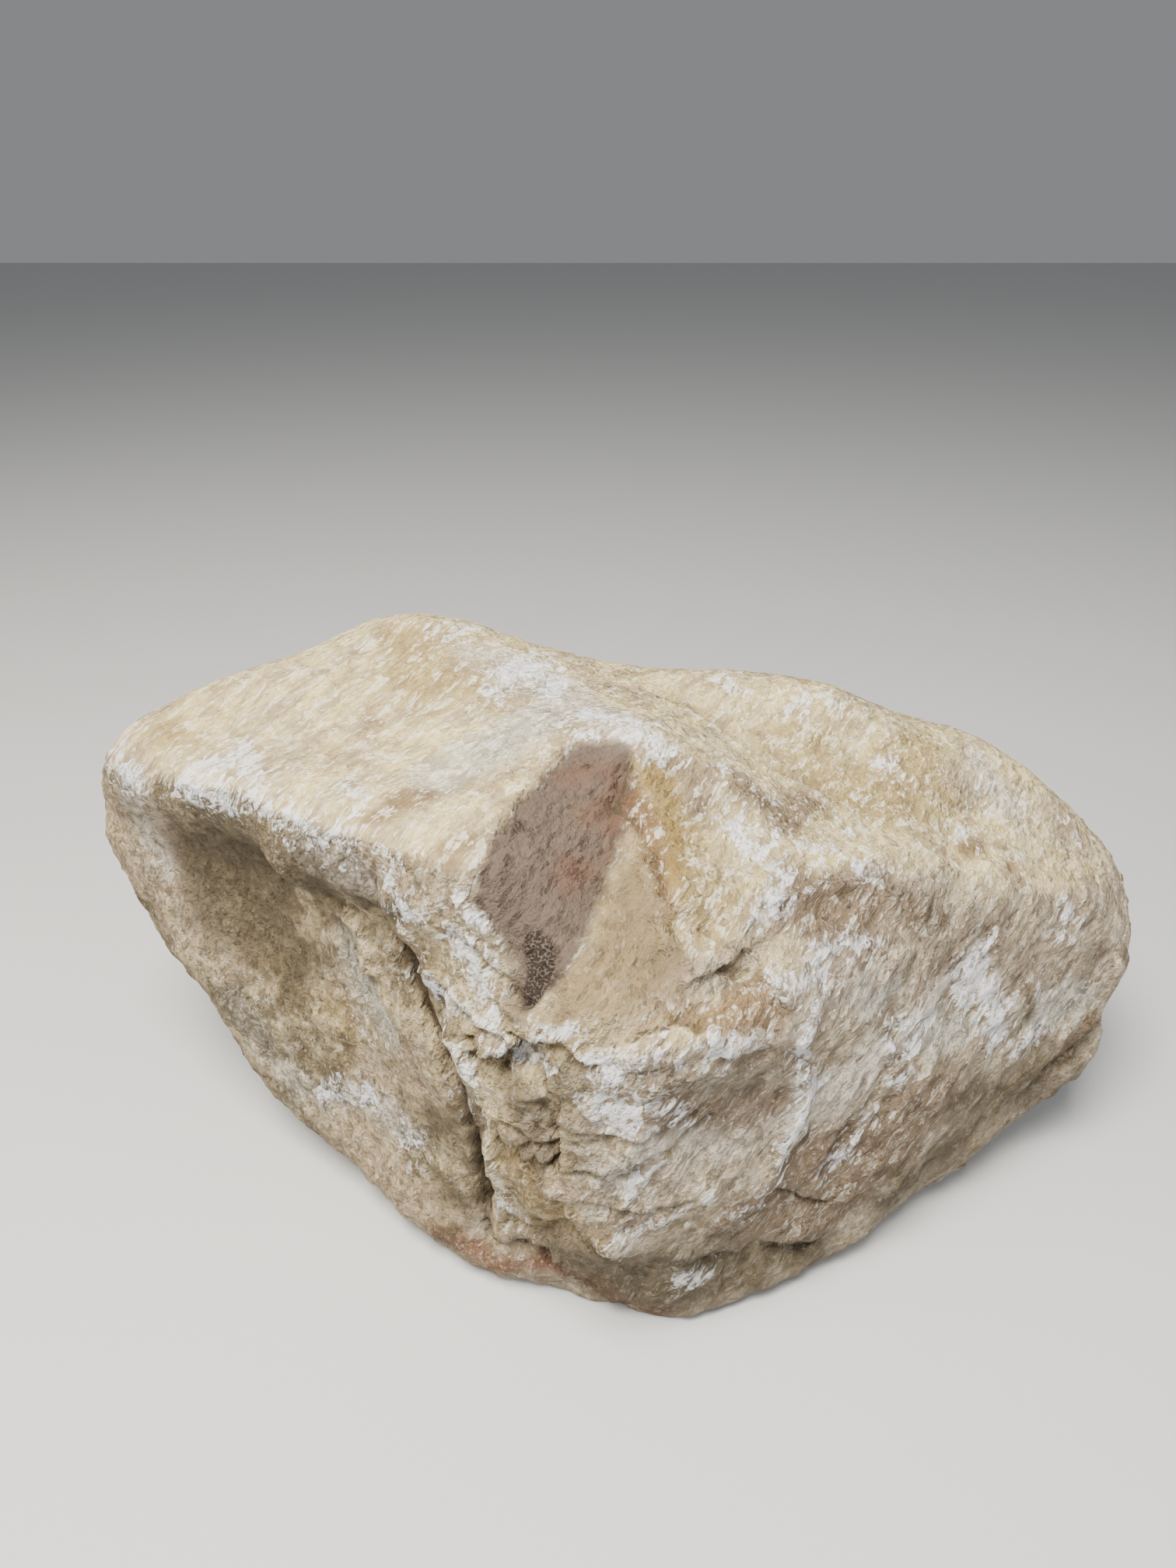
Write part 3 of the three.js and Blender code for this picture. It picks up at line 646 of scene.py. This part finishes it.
# %% Frosting
frost = inside_strips(
    (14, [(270, 985), (310, 965), (320, 985)]), (6, [(225, 1000), (250, 1020), (300, 1040)]),
    (8, [(325, 1005), (340, 1030)]), (10, [(155, 965), (165, 980), (160, 1000)]),
    (8, [(370, 1050), (400, 1055), (420, 1065), (450, 1062)]), (7, [(445, 1010), (465, 1030)]),
    (12, [(645, 890), (655, 865), (700, 850)]), (10, [(700, 895), (715, 872)]),
    (4, [(555, 815), (575, 822), (610, 812)]), (12, [(730, 935), (755, 920), (800, 925), (830, 930)]),
    (10, [(750, 948), (790, 945)]), (9, [(820, 955), (840, 965), (865, 962)]),
    (5, [(850, 975), (870, 975)]), (5, [(922, 985), (938, 990)]), (4, [(985, 1025), (1007, 1031)]),
    (6, [(935, 868), (950, 885)]), (5, [(1020, 905), (1045, 896), (1070, 900)]),
    (6, [(1130, 975), (1145, 995)]), (10, [(945, 1060), (965, 1085), (990, 1090)]),
    (12, [(985, 1105), (1010, 1128), (1000, 1150)]), (8, [(1035, 1093), (1062, 1085)]),
    (5, [(1090, 1070), (1112, 1065)]), (6, [(1105, 1108), (1122, 1120)]), (5, [(990, 1170), (970, 1185)]),
    (6, [(1058, 1227), (1080, 1215), (1112, 1210)]),
    (8, [(1008, 1262), (1030, 1260), (1060, 1265), (1048, 1240)]), (5, [(1042, 1300), (1035, 1330)]),
    (6, [(1035, 1350), (1045, 1390)]), (6, [(1040, 1410), (1030, 1440), (1010, 1470), (1000, 1500)]),
    (4, [(990, 1530), (960, 1560)]), (5, [(1140, 1320), (1140, 1350), (1145, 1388)]),
    (6, [(1165, 1320), (1195, 1308)]), (9, [(1180, 1345), (1162, 1378)]), (4, [(1130, 1430), (1100, 1460)]),
    (5, [(1072, 1487), (1058, 1502)]), (14, [(1250, 1250), (1268, 1275), (1280, 1300)]),
    (10, [(1228, 1268), (1240, 1290)]), (5, [(1262, 1215), (1268, 1228)]),
    (9, [(1275, 1325), (1300, 1340)]), (7, [(1318, 1332), (1332, 1325)]),
    (7, [(1370, 1170), (1380, 1185), (1368, 1200)]), (3, [(1342, 1252), (1330, 1277)]),
    (3, [(1368, 1058), (1385, 1078)]), (4, [(1255, 1020), (1265, 1032)]),
    (5, [(1205, 1060), (1225, 1068), (1257, 1072)]), (4, [(790, 1352), (830, 1370), (870, 1362)]),
    (4, [(900, 1338), (925, 1352), (950, 1360), (985, 1350)]), (6, [(768, 1290), (790, 1288)]),
    (9, [(755, 1365), (785, 1382)]), (10, [(775, 1415), (800, 1440)]), (6, [(828, 1398), (842, 1430)]),
    (4, [(873, 1428), (882, 1446)]), (5, [(850, 1490), (815, 1520), (805, 1545)]),
    (4, [(820, 1578), (800, 1590)]), (4, [(907, 1528), (898, 1552)]), (5, [(868, 1560), (850, 1570)]),
    (3, [(885, 1642), (912, 1635)]), (8, [(650, 1352), (682, 1350)]),
    (10, [(640, 1310), (612, 1255), (600, 1212)]), (9, [(555, 1268), (590, 1292)]),
    (6, [(700, 1318), (730, 1330)]), (7, [(640, 1185), (600, 1170), (560, 1165)]),
    (5, [(578, 1198), (602, 1216)]), (6, [(488, 1103), (495, 1128)]), (6, [(530, 1150), (550, 1172)]),
    (3, [(525, 1212), (533, 1235), (542, 1258)]), (4, [(603, 1360), (612, 1400)]),
    (4, [(468, 1318), (482, 1336)]), (4, [(580, 1408), (590, 1415)]), (6, [(522, 1470), (535, 1458)]),
    (8, [(410, 1400), (450, 1400), (480, 1412)]), (4, [(640, 1540), (655, 1560)]),
)
FROST_PATCH = 75  # millimetres, the usual size of a patch on the back
turned_away = ramp(soft_directions[:, 1], 0.1, 0.6)
back_frost = 24 * lumps(smooth_places / (FROST_PATCH * MM), 3, seed=41) - 9
frost = np.maximum(frost, OUTSIDE + (back_frost - OUTSIDE) * turned_away)
print("share under frost:", round(float((frost > 0).mean()), 3))

# %% [markdown]
# The broken dish below the crest is rose brown, redder at its right side. The scoops and the low right of
# the right face are a duller brown, partly painted shade. The stone is bared and orange in a few fresh
# breaks.

# %% Rose, dun, red and orange
rose = inside_strips(
    (5, [(650, 1305), (668, 1312)]),
)
rose = np.maximum(rose, inside_outline(DISH))
# Dun is a duller brown, partly painted shade, in the scoops, at the brow and low on the right.
dun = inside_strips(
    (8, [(1242, 1190), (1232, 1230), (1200, 1245)]), (8, [(1270, 1190), (1290, 1225)]),
    (8, [(1312, 1250), (1320, 1300)]), (12, [(875, 985), (900, 1010), (890, 1040)]),
    (14, [(955, 1010), (1000, 1050), (1035, 1030)]), (16, [(850, 1420), (920, 1430), (990, 1420)]),
    (26, [(1040, 1490), (1110, 1480), (1190, 1420)]), (24, [(960, 1560), (1060, 1550), (1150, 1480)]),
    (14, [(1010, 1120), (1050, 1150), (1120, 1160)]), (14, [(1045, 1170), (1110, 1185)]),
    (12, [(1150, 1160), (1200, 1180)]), (18, [(1030, 1165), (1075, 1155), (1125, 1160)]),
)
dun = np.maximum(dun, inside_outline(BROW))
red = inside_strips(
    (9, [(790, 1000), (798, 1030), (792, 1058)]), (8, [(755, 1045), (785, 1036)]),
    (7, [(725, 1125), (758, 1115), (785, 1100)]), (6, [(735, 1000), (760, 985)]),
)

floor_of_dish = inside_outline(TAN_FLOOR, 20)
orange = inside_strips(
    (6, [(1290, 1090), (1305, 1105), (1295, 1120)]), (9, [(1350, 1368), (1378, 1340), (1402, 1308)]),
    (9, [(500, 1032), (550, 1028), (480, 1050)]), (8, [(600, 1080), (580, 1092)]),
    (5, [(1240, 1092), (1262, 1085)]),
)
for outline in (WALL_FOOT, CHIP):
    orange = np.maximum(orange, inside_outline(outline, 16))
print("share of rose:", round(float((rose > 0).mean()), 3))

# %% [markdown]
# Yellow ochre stains sit on the wall beside the dish, on the left face and low on the front. The foot of
# the front is rusty from the ground. Some places are bleached grey, and some are pinkish white.

# %% Ochre, rust, grey and pale
ochre = inside_strips(
    (16, [(872, 1120), (915, 1140), (920, 1180), (885, 1190)]),
    (10, [(852, 1085), (880, 1072), (905, 1090)]),
    (20, [(790, 1170), (800, 1210), (770, 1265), (835, 1230)]),
    (16, [(380, 1280), (435, 1300), (440, 1330)]), (8, [(400, 1372), (440, 1360)]),
    (12, [(345, 1240), (385, 1250)]), (16, [(668, 1500), (690, 1550), (735, 1580)]),
    (8, [(780, 1590), (760, 1602)]), (10, [(200, 930), (230, 960)]),
    (25, [(1060, 1000), (1130, 1030), (1200, 1010)]), (12, [(1180, 950), (1150, 970)]),
    (18, [(1000, 960), (1060, 955)]), (24, [(590, 870), (540, 880), (520, 825)]),
)
yellow = inside_outline(LIT_WALL, 16) + 4
rust = inside_strips(
    (9, [(572, 1590), (605, 1605), (625, 1622), (660, 1628)]),
    (11, [(695, 1622), (740, 1640), (795, 1668), (840, 1682)]),
)
grey = inside_strips(
    (14, [(452, 1200), (462, 1240), (478, 1290), (500, 1325)]), (6, [(180, 1060), (190, 1075)]),
    (20, [(560, 1000), (630, 965), (690, 925)]), (10, [(1110, 1285), (1150, 1270)]),
    (14, [(1195, 1330), (1235, 1320)]), (15, [(1330, 1300), (1390, 1290)]),
)
pale = inside_strips(
    (12, [(395, 1085), (440, 1105), (480, 1120)]), (12, [(860, 1235), (880, 1255)]),
    (22, [(620, 850), (700, 875), (790, 930)]), (14, [(1260, 980), (1300, 1040)]),
    (8, [(1145, 1330), (1190, 1290), (1260, 1200)]), (20, [(1010, 1430), (1070, 1405), (1120, 1370)]),
    (16, [(880, 1420), (830, 1470), (800, 1500)]), (16, [(850, 1465), (920, 1455), (965, 1430)]),
    (14, [(300, 1285), (340, 1345), (385, 1400)]), (14, [(160, 1010), (190, 1060), (215, 1110)]),
    (14, [(335, 1345), (400, 1400), (480, 1412), (530, 1462)]), (8, [(305, 1305), (340, 1350)]),
    (14, [(165, 1005), (185, 1050), (200, 1085)]),
)
print("share of ochre:", round(float((ochre > 0).mean()), 3))

# %% [markdown]
# Painted shade, mixed with damp and old dirt, darkens the stone under the left rim, along the crack and in
# the low hollows of the front. A few crumbs of black soil lie in the bottom of the dish.

# %% Damp with painted shade, and soil
# These strips and the rim outline take dark olive: painted shade, mixed with damp and old dirt.
damp_and_shade = inside_strips(
    (9, [(480, 1150), (525, 1165), (505, 1198)]), (6, [(412, 1120), (432, 1126)]),
    (8, [(560, 1302), (580, 1325)]), (13, [(1395, 1330), (1365, 1370), (1330, 1395)]),
    (7, [(1398, 1232), (1408, 1220)]), (9, [(715, 1380), (728, 1440)]),
    (7, [(578, 1350), (590, 1410), (605, 1450), (618, 1500), (625, 1550)]),
    (18, [(780, 1610), (860, 1622), (940, 1612)]), (12, [(960, 1625), (1050, 1612)]),
    (16, [(1150, 1530), (1220, 1480), (1300, 1400)]), (10, [(655, 1395), (680, 1440), (700, 1475)]),
    (20, [(730, 1610), (790, 1650), (880, 1665), (960, 1645)]),
    (18, [(1240, 1420), (1290, 1405), (1330, 1370)]), (12, [(560, 1440), (600, 1440)]),
    (10, [(570, 1540), (600, 1560)]),
)
UNDER_THE_RIM = [
    (208, 1070), (280, 1058), (345, 1090), (378, 1135), (395, 1185), (415, 1235), (380, 1275), (300, 1235),
    (235, 1185),
]
damp_and_shade = np.maximum(damp_and_shade, inside_outline(UNDER_THE_RIM, 40))
soil = inside_strips(
    (2, [(902, 1104), (908, 1103)]), (1.5, [(661, 1024), (665, 1026)]),
    (1.5, [(660, 1068), (670, 1054), (678, 1058)]), (1.5, [(752, 982), (760, 983)]),
)
SOIL_IN_DISH = [
    (665, 1205), (700, 1198), (718, 1220), (714, 1262), (690, 1298), (664, 1300), (672, 1262),
]
soil = np.maximum(soil, inside_outline(SOIL_IN_DISH))
# The crack patch paints shadow inside the long crack, the shelf crease, the dish step and the open breaks.
crack = inside_strips((3.5, LONG_CRACK), (1.5, SHELF_CREASE), (2.0, DISH_STEP[:3]))
OPEN_BREAKS = SHORT_BREAKS[:5] + SHORT_BREAKS[18:20]  # the seven that are dark inside
crack = np.maximum(crack, inside_strips(*[(1.6, readings) for readings, *_ in OPEN_BREAKS]))
lip = inside_strips((1.5, CRACK_LIP))

PATCHES = {"frost": frost, "rose": rose, "dun": dun, "red": red, "orange": orange, "yellow": yellow,
           "floor": floor_of_dish, "ochre": ochre, "rust": rust, "grey": grey, "pale": pale, "damp_and_shade": damp_and_shade,
           "soil": soil, "crack": crack, "lip": lip}
for name, inside in PATCHES.items():
    store(name, inside)
print("patches kept on the mesh:", list(PATCHES))

# %% [markdown]
# ## Thinning the skin
#
# The even grid has more points than the flat stretches need. Decimation takes them away where the skin is
# nearly flat, leaves them at the broken edges, and carries the stored numbers along.

# %% Thin the skin
MOST_TRIANGLES = 197000


def triangle_count():
    return sum(len(face.vertices) - 2 for face in skin.polygons)


triangles = triangle_count()
thin = boulder.modifiers.new("thin the flat stretches", "DECIMATE")
thin.ratio = min(1.0, MOST_TRIANGLES / triangles)
skin = settle()
print("triangles before and after:", triangles, triangle_count())

# %% [markdown]
# ## The material, from its nodes
#
# A material is a small machine of nodes. A few helpers keep its building short: one adds a node and plugs
# in its inputs, some do sums, and one lays a colour over another.

# %% Node helpers
calcite = bpy.data.materials.new("fibrous calcite")
calcite.use_nodes = True
machine = calcite.node_tree
shader = machine.nodes["Principled BSDF"]


def add(kind, inputs=(), **settings):
    """Adds a node. inputs are {socket: value, or the socket that feeds it}."""
    node = machine.nodes.new(kind)
    for name, value in settings.items():
        setattr(node, name, value)
    for socket, value in dict(inputs).items():
        if isinstance(value, bpy.types.NodeSocket):
            machine.links.new(value, node.inputs[socket])
        else:
            node.inputs[socket].default_value = value
    return node


def calculate(operation, first, second=0.0, third=0.0):
    """One sum, product or the like of two or three numbers."""
    return add("ShaderNodeMath", {0: first, 1: second, 2: third}, operation=operation).outputs[0]


def vector_sum(operation, first, second, output="Vector"):
    """The same for two vectors."""
    return add("ShaderNodeVectorMath", {0: first, 1: second}, operation=operation).outputs[output]


def times(first, second):
    return calculate("MULTIPLY", first, second)


def plus(first, second):
    return calculate("ADD", first, second)


def linear(value, slope, start):
    """The value times the slope, plus the start."""
    return calculate("MULTIPLY_ADD", value, slope, start)


def stored(name):
    """A number kept on the mesh."""
    return add("ShaderNodeAttribute", attribute_name=name).outputs["Fac"]


def cut_off(value, low, high, top=1.0):
    """0 below low and top above high, with a soft step between."""
    inputs = {"Value": value, "From Min": low, "From Max": high, "To Max": top}
    return add("ShaderNodeMapRange", inputs, interpolation_type="SMOOTHSTEP").outputs[0]


def colour(red, green, blue):
    """A colour in the 0 to 255 numbers of a paint chart, as the shader wants it."""
    return tuple(((c / 255 + 0.055) / 1.055) ** 2.4 for c in (red, green, blue)) + (1.0,)


def lay_over(under, over, share):
    """One colour laid over another, by a share from 0 to 1."""
    inputs = {0: share, 6: under, 7: over}
    return add("ShaderNodeMix", inputs, data_type="RGBA").outputs[2]


print("the shader has", len(shader.inputs), "sockets")

# %% [markdown]
# ## Patterns in the stone
#
# The patterns are all noise, seen through two sets of coordinates: plain ones for stains and grit, and ones
# turned to the fibres and squeezed, for splinters. A little noise is added to the coordinates first, so
# that the splinters bend. Splinters are cells whose flats are tilted and end in sharp edges; ridged noise
# alone would curl like worms, so it only gives the fine creases.

# %% Coordinates
where = add("ShaderNodeTexCoord").outputs["Object"]
drift_inputs = {"Vector": where, "Scale": 24.0, "Detail": 5.0, "Roughness": 0.62}
drift = add("ShaderNodeTexNoise", drift_inputs).outputs["Color"]
centred = vector_sum("SUBTRACT", drift, (0.5, 0.5, 0.5))
wander = linear(stored("quiet"), -8 * MM, 14 * MM)
push = add("ShaderNodeVectorMath", {0: centred, "Scale": wander}, operation="SCALE").outputs[0]
wandered = vector_sum("ADD", push, where)
turned = [vector_sum("DOT_PRODUCT", wandered, tuple(axis), "Value") for axis in FIBRE_AXES]


def along_fibres(length, width, start=0.0):
    """Coordinates counted in fibre lengths and fibre widths (millimetres), from a start of their own."""
    sized = [linear(value, 1 / (size * MM), start)
             for value, size in zip(turned, (length, width, width))]
    return add("ShaderNodeCombineXYZ", dict(enumerate(sized))).outputs[0]


print("coordinates ready")

# %% Patterns
def soft_noise(vector, scale, detail=3.0, roughness=0.55):
    """Soft noise around 0.5, mostly from 0.4 to 0.6."""
    inputs = {"Vector": vector, "Scale": scale, "Detail": detail, "Roughness": roughness}
    return add("ShaderNodeTexNoise", inputs).outputs["Fac"]


def ridged_noise(vector, detail=2.0):
    """Ridged noise around 1: over 1.4 only on thin crests."""
    inputs = {"Vector": vector, "Scale": 1.0, "Detail": detail, "Offset": 1.0, "Gain": 1.0}
    return add("ShaderNodeTexNoise", inputs, noise_type="RIDGED_MULTIFRACTAL").outputs["Fac"]


def slivers(length, width, start):
    """Broken slivers: the height of tilted flats that end in sharp edges."""
    vector = along_fibres(length, width, start)
    cells = add("ShaderNodeTexVoronoi", {"Vector": vector, "Scale": 1.0})
    away = vector_sum("SUBTRACT", vector, cells.outputs["Position"])
    lean = vector_sum("SUBTRACT", cells.outputs["Color"], (0.5, 0.5, 0.5))
    return vector_sum("DOT_PRODUCT", away, lean, "Value")


large_slivers = slivers(24, 7.5, 0.0)
small_slivers = slivers(8.0, 2.4, 4.0)
creases = ridged_noise(along_fibres(22, 7, 5.0), 4.0)
flakes = soft_noise(along_fibres(28, 7, 9.0), 1.0, 6.0, 0.72)
bands = soft_noise(along_fibres(75, 22, 2.0), 1.0, 6.0, 0.68)
clouds = soft_noise(where, 8.0, 3.0, 0.6)
blotches = soft_noise(where, 42.0, 4.0, 0.65)
grit = soft_noise(where, 420.0, 2.0, 0.6)
print("patterns ready, nodes so far:", len(machine.nodes))

# %% [markdown]
# ## The fine relief
#
# What is finer than the carved skin is kept as one height: splinters, flakes, grit and the crumbs in the
# dish, less the creases. It drives the bump, and it colours the stone too: high places are painted pale,
# partly as bruising and partly as a painted highlight, and low ones dark as a painted shadow. When light and
# colour agree, small relief looks real.

# %% One height for bump and colour
grains = add("ShaderNodeTexVoronoi", {"Vector": wandered, "Scale": 700.0}).outputs["Distance"]
soil_edge = linear(blotches, 14, plus(stored("soil"), -7))
crumbs = times(cut_off(soil_edge, -2, 3), cut_off(grains, 0.64, 0.5))
fine = plus(times(large_slivers, 0.8), times(small_slivers, 0.75))
fine = linear(flakes, 0.8, fine)
fine = linear(creases, -0.08, fine)
fine = linear(grit, 0.5, fine)
fine = linear(crumbs, 0.35, fine)
FINE_MIDDLE = 0.8 * 0.5 - 0.08 * 1.0 + 0.5 * 0.5  # flakes, creases and grit, each at its middle
# raised gives the painted highlight and sunk the painted shadow of the fine relief.
raised = cut_off(fine, FINE_MIDDLE, FINE_MIDDLE + 0.3)
sunk = cut_off(fine, FINE_MIDDLE, FINE_MIDDLE - 0.3)
print("the middle of the fine relief is", FINE_MIDDLE)

# %% [markdown]
# ## The body colour
#
# The stone is tan, warmer in some places and greyer in others, with bands along the fibres. The top is
# bleached, and faces turned to the right and front take a greyer tan as painted shade. The stains lie over
# that, each with a ragged edge, and the grainy left face takes an olive mottling.

# %% Tan stone and its stains
TAN = colour(178, 157, 126)
SAND = colour(204, 184, 142)
BLEACHED = colour(238, 215, 152)
WARM_BROWN = colour(158, 130, 100)
SHADE_TAN = colour(177, 160, 139)
DARK_OLIVE = colour(90, 78, 57)
STAINS = [  # patch, colour, top share, softness of the edge in millimetres, raggedness
    ("grey", (184, 184, 172), 0.65, 9, 0.7),
    ("pale", (214, 202, 186), 0.8, 10, 1.0),
    ("ochre", (168, 143, 90), 0.72, 12, 1.0),
    # dun: a duller brown, partly painted shade
    ("dun", (126, 105, 84), 0.85, 9, 0.7),
    ("floor", (134, 114, 86), 0.8, 8, 0.5),
    ("yellow", (150, 123, 66), 0.85, 8, 0.5),
    ("rose", (95, 80, 72), 0.92, 4, 0.25),
    ("red", (112, 78, 62), 0.65, 9, 0.5),
    ("orange", (126, 94, 64), 0.75, 5, 0.4),
    ("rust", (124, 72, 44), 0.8, 8, 1.0),
]

stone = lay_over(TAN, SAND, cut_off(clouds, 0.42, 0.6))
stone = lay_over(stone, BLEACHED, times(stored("worn"), cut_off(bands, 0.38, 0.6, 0.7)))
stone = lay_over(stone, WARM_BROWN, cut_off(blotches, 0.5, 0.68, 0.5))
stone = lay_over(stone, BLEACHED, cut_off(bands, 0.52, 0.66, 0.4))
# Painted shade: a greyer tan on the faces turned to the right and front.
stone = lay_over(stone, SHADE_TAN, times(stored("shaded"), cut_off(bands, 0.2, 0.6, 0.95)))
edge_noise = plus(linear(bands, 30, -15), linear(blotches, 40, -20))
edge_noise = plus(edge_noise, linear(fine, 16, -16 * FINE_MIDDLE))


def patch(name, amount, softness, raggedness=1.0):
    """The share of a stored patch: its edge moved by noise and softened over some millimetres."""
    return cut_off(plus(stored(name), times(edge_noise, raggedness)), -softness, softness, amount)


for name, tint, share, softness, raggedness in STAINS:
    stone = lay_over(stone, colour(*tint), patch(name, share, softness, raggedness))
# The damp patch: dark olive that is painted shade, mixed with damp and old dirt.
damp_and_shade_share = patch("damp_and_shade", 0.84, 12)
stone = lay_over(stone, DARK_OLIVE, damp_and_shade_share)
olive = plus(clouds, times(calculate("SUBTRACT", blotches, 0.5), 0.7))
stone = lay_over(stone, DARK_OLIVE, times(stored("grainy"), cut_off(olive, 0.44, 0.6, 0.75)))
print("stains laid over the tan")

# %% [markdown]
# ## Splinters, painted highlights and shade, and frosting
#
# Splinters take pale strokes, partly bruising and partly painted highlight, with thin painted shadows
# between them. Hollows and downward faces take brown painted shade with some dirt. The same fine relief
# breaks up the frosting, and the ridges near it take more. The pale lip and the painted shadow inside the
# cracks lie over the frosting, and the black crumbs of soil come last.

# %% Marks on the stone
# DARK paints shade and shadow: in hollows, under the stone, in low places and inside the cracks.
DARK = colour(82, 69, 51)
# PALE paints highlights, partly bruising, on high places, and the pale lip of the long crack.
PALE = colour(252, 246, 224)
FROST = colour(246, 247, 251)
SOIL = colour(46, 39, 32)

grainy = stored("grainy")
# Painted shadow in the low places of the fine relief.
marks = linear(stored("worn"), -0.16, 0.48)
marks = linear(stored("quiet"), -0.26, marks)
stone = lay_over(stone, DARK, times(sunk, marks))
# Painted highlight, partly bruising, on the high places of the fine relief.
marks = linear(stored("worn"), 0.28, 0.36)
marks = linear(stored("quiet"), -0.7, marks)
marks = linear(grainy, -0.1, marks)
marks = linear(damp_and_shade_share, -0.25, marks)
stone = lay_over(stone, PALE, times(raised, marks))
# Painted shade, with some dirt, in small and broad hollows and on downward faces.
for name, noise_here, low, share in (("hollow", blotches, 0.25, 0.45), ("sheltered", blotches, 0.25, 0.25),
                                     ("under", clouds, 0.2, 0.45)):
    stone = lay_over(stone, DARK, times(stored(name), cut_off(noise_here, low, 0.6, share)))

knocks = plus(times(stored("ridge"), 4), linear(fine, 20, -20 * FINE_MIDDLE - 2))
frost_here = plus(plus(stored("frost"), times(edge_noise, 0.6)), knocks)
frost_here = linear(stored("quiet"), -25, frost_here)
stone = lay_over(stone, FROST, cut_off(frost_here, -5, 9, 0.75))
lip_here = plus(stored("lip"), linear(fine, 8, -8 * FINE_MIDDLE))
stone = lay_over(stone, PALE, cut_off(lip_here, -1.5, 1.5, 0.75))
# Painted shadow inside the cracks.
in_crack = plus(stored("crack"), linear(fine, 6, -6 * FINE_MIDDLE))
stone = lay_over(stone, DARK, cut_off(in_crack, -1, 1, 0.95))
stone = lay_over(stone, SOIL, times(crumbs, 0.92))
machine.links.new(stone, shader.inputs["Base Color"])
print("nodes in the material:", len(machine.nodes))

# %% [markdown]
# ## The feel of the surface
#
# Broken calcite is dull, with a faint silkiness along the fibres, so the roughness varies a little with the
# flakes. The bump lays the fine relief on the carved skin.

# %% Roughness and bump
shader.inputs["Specular IOR Level"].default_value = 0.3
machine.links.new(linear(flakes, -0.5, 1.08), shader.inputs["Roughness"])
bump_strength = add("ShaderNodeMix", {0: stored("worn"), 2: 1.0, 3: 0.75}).outputs[0]
fine_bump = add("ShaderNodeBump", {"Height": fine, "Distance": 8 * MM, "Strength": bump_strength})
machine.links.new(fine_bump.outputs[0], shader.inputs["Normal"])

skin.materials.clear()
skin.materials.append(calcite)
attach(boulder, "root")
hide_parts("calcite_boulder")
print("the boulder has its finish")

# %% [markdown]
# ## Floor and light
#
# The floor is plain and pale. The light is soft and comes from above, a little from the front left, so the
# top is brightest and the foot lies in shade. A wide area light gives such soft shadows. A weak warm light
# on the left, a weak cool one on the right and the pale world fill them.

# %% Floor
floor_mesh = bpy.data.meshes.new("floor")
floor_mesh.from_pydata([(-6, -6, 0), (6, -6, 0), (6, 8, 0), (-6, 8, 0)], [], [(0, 1, 2, 3)])
floor = bpy.data.objects.new("floor", floor_mesh)
bpy.context.scene.collection.objects.link(floor)
floor_paint = bpy.data.materials.new("pale floor")
floor_paint.use_nodes = True
sockets = floor_paint.node_tree.nodes["Principled BSDF"].inputs
sockets["Base Color"].default_value = (0.6, 0.6, 0.59, 1)
sockets["Roughness"].default_value = 0.9
floor_mesh.materials.append(floor_paint)
print("floor laid at height 0")

# %% Light
def hang_light(name, where_from, size, power, tint):
    """A square soft light that looks at the boulder."""
    lamp = bpy.data.lights.new(name, "AREA")
    lamp.size = size
    lamp.energy = power
    lamp.color = tint
    holder = bpy.data.objects.new(name, lamp)
    holder.location = where_from
    holder.rotation_euler = (Vector((0, 0, 0.15)) - Vector(where_from)).to_track_quat("-Z", "Y").to_euler()
    bpy.context.scene.collection.objects.link(holder)


hang_light("sky light", (-0.35, -0.8, 2.0), 0.9, 112, (1.0, 0.97, 0.9))
hang_light("left fill", (-2.4, -0.8, 1.0), 1.2, 44, (1.0, 0.95, 0.86))
hang_light("right fill", (1.9, -1.7, 1.2), 1.2, 26, (0.88, 0.93, 1.0))
sky = bpy.data.worlds.new("pale sky")
sky.use_nodes = True
sockets = sky.node_tree.nodes["Background"].inputs
sockets["Color"].default_value = (0.93, 0.96, 1.0, 1)
sockets["Strength"].default_value = 0.26
bpy.context.scene.world = sky
print("three soft lights and a pale sky")
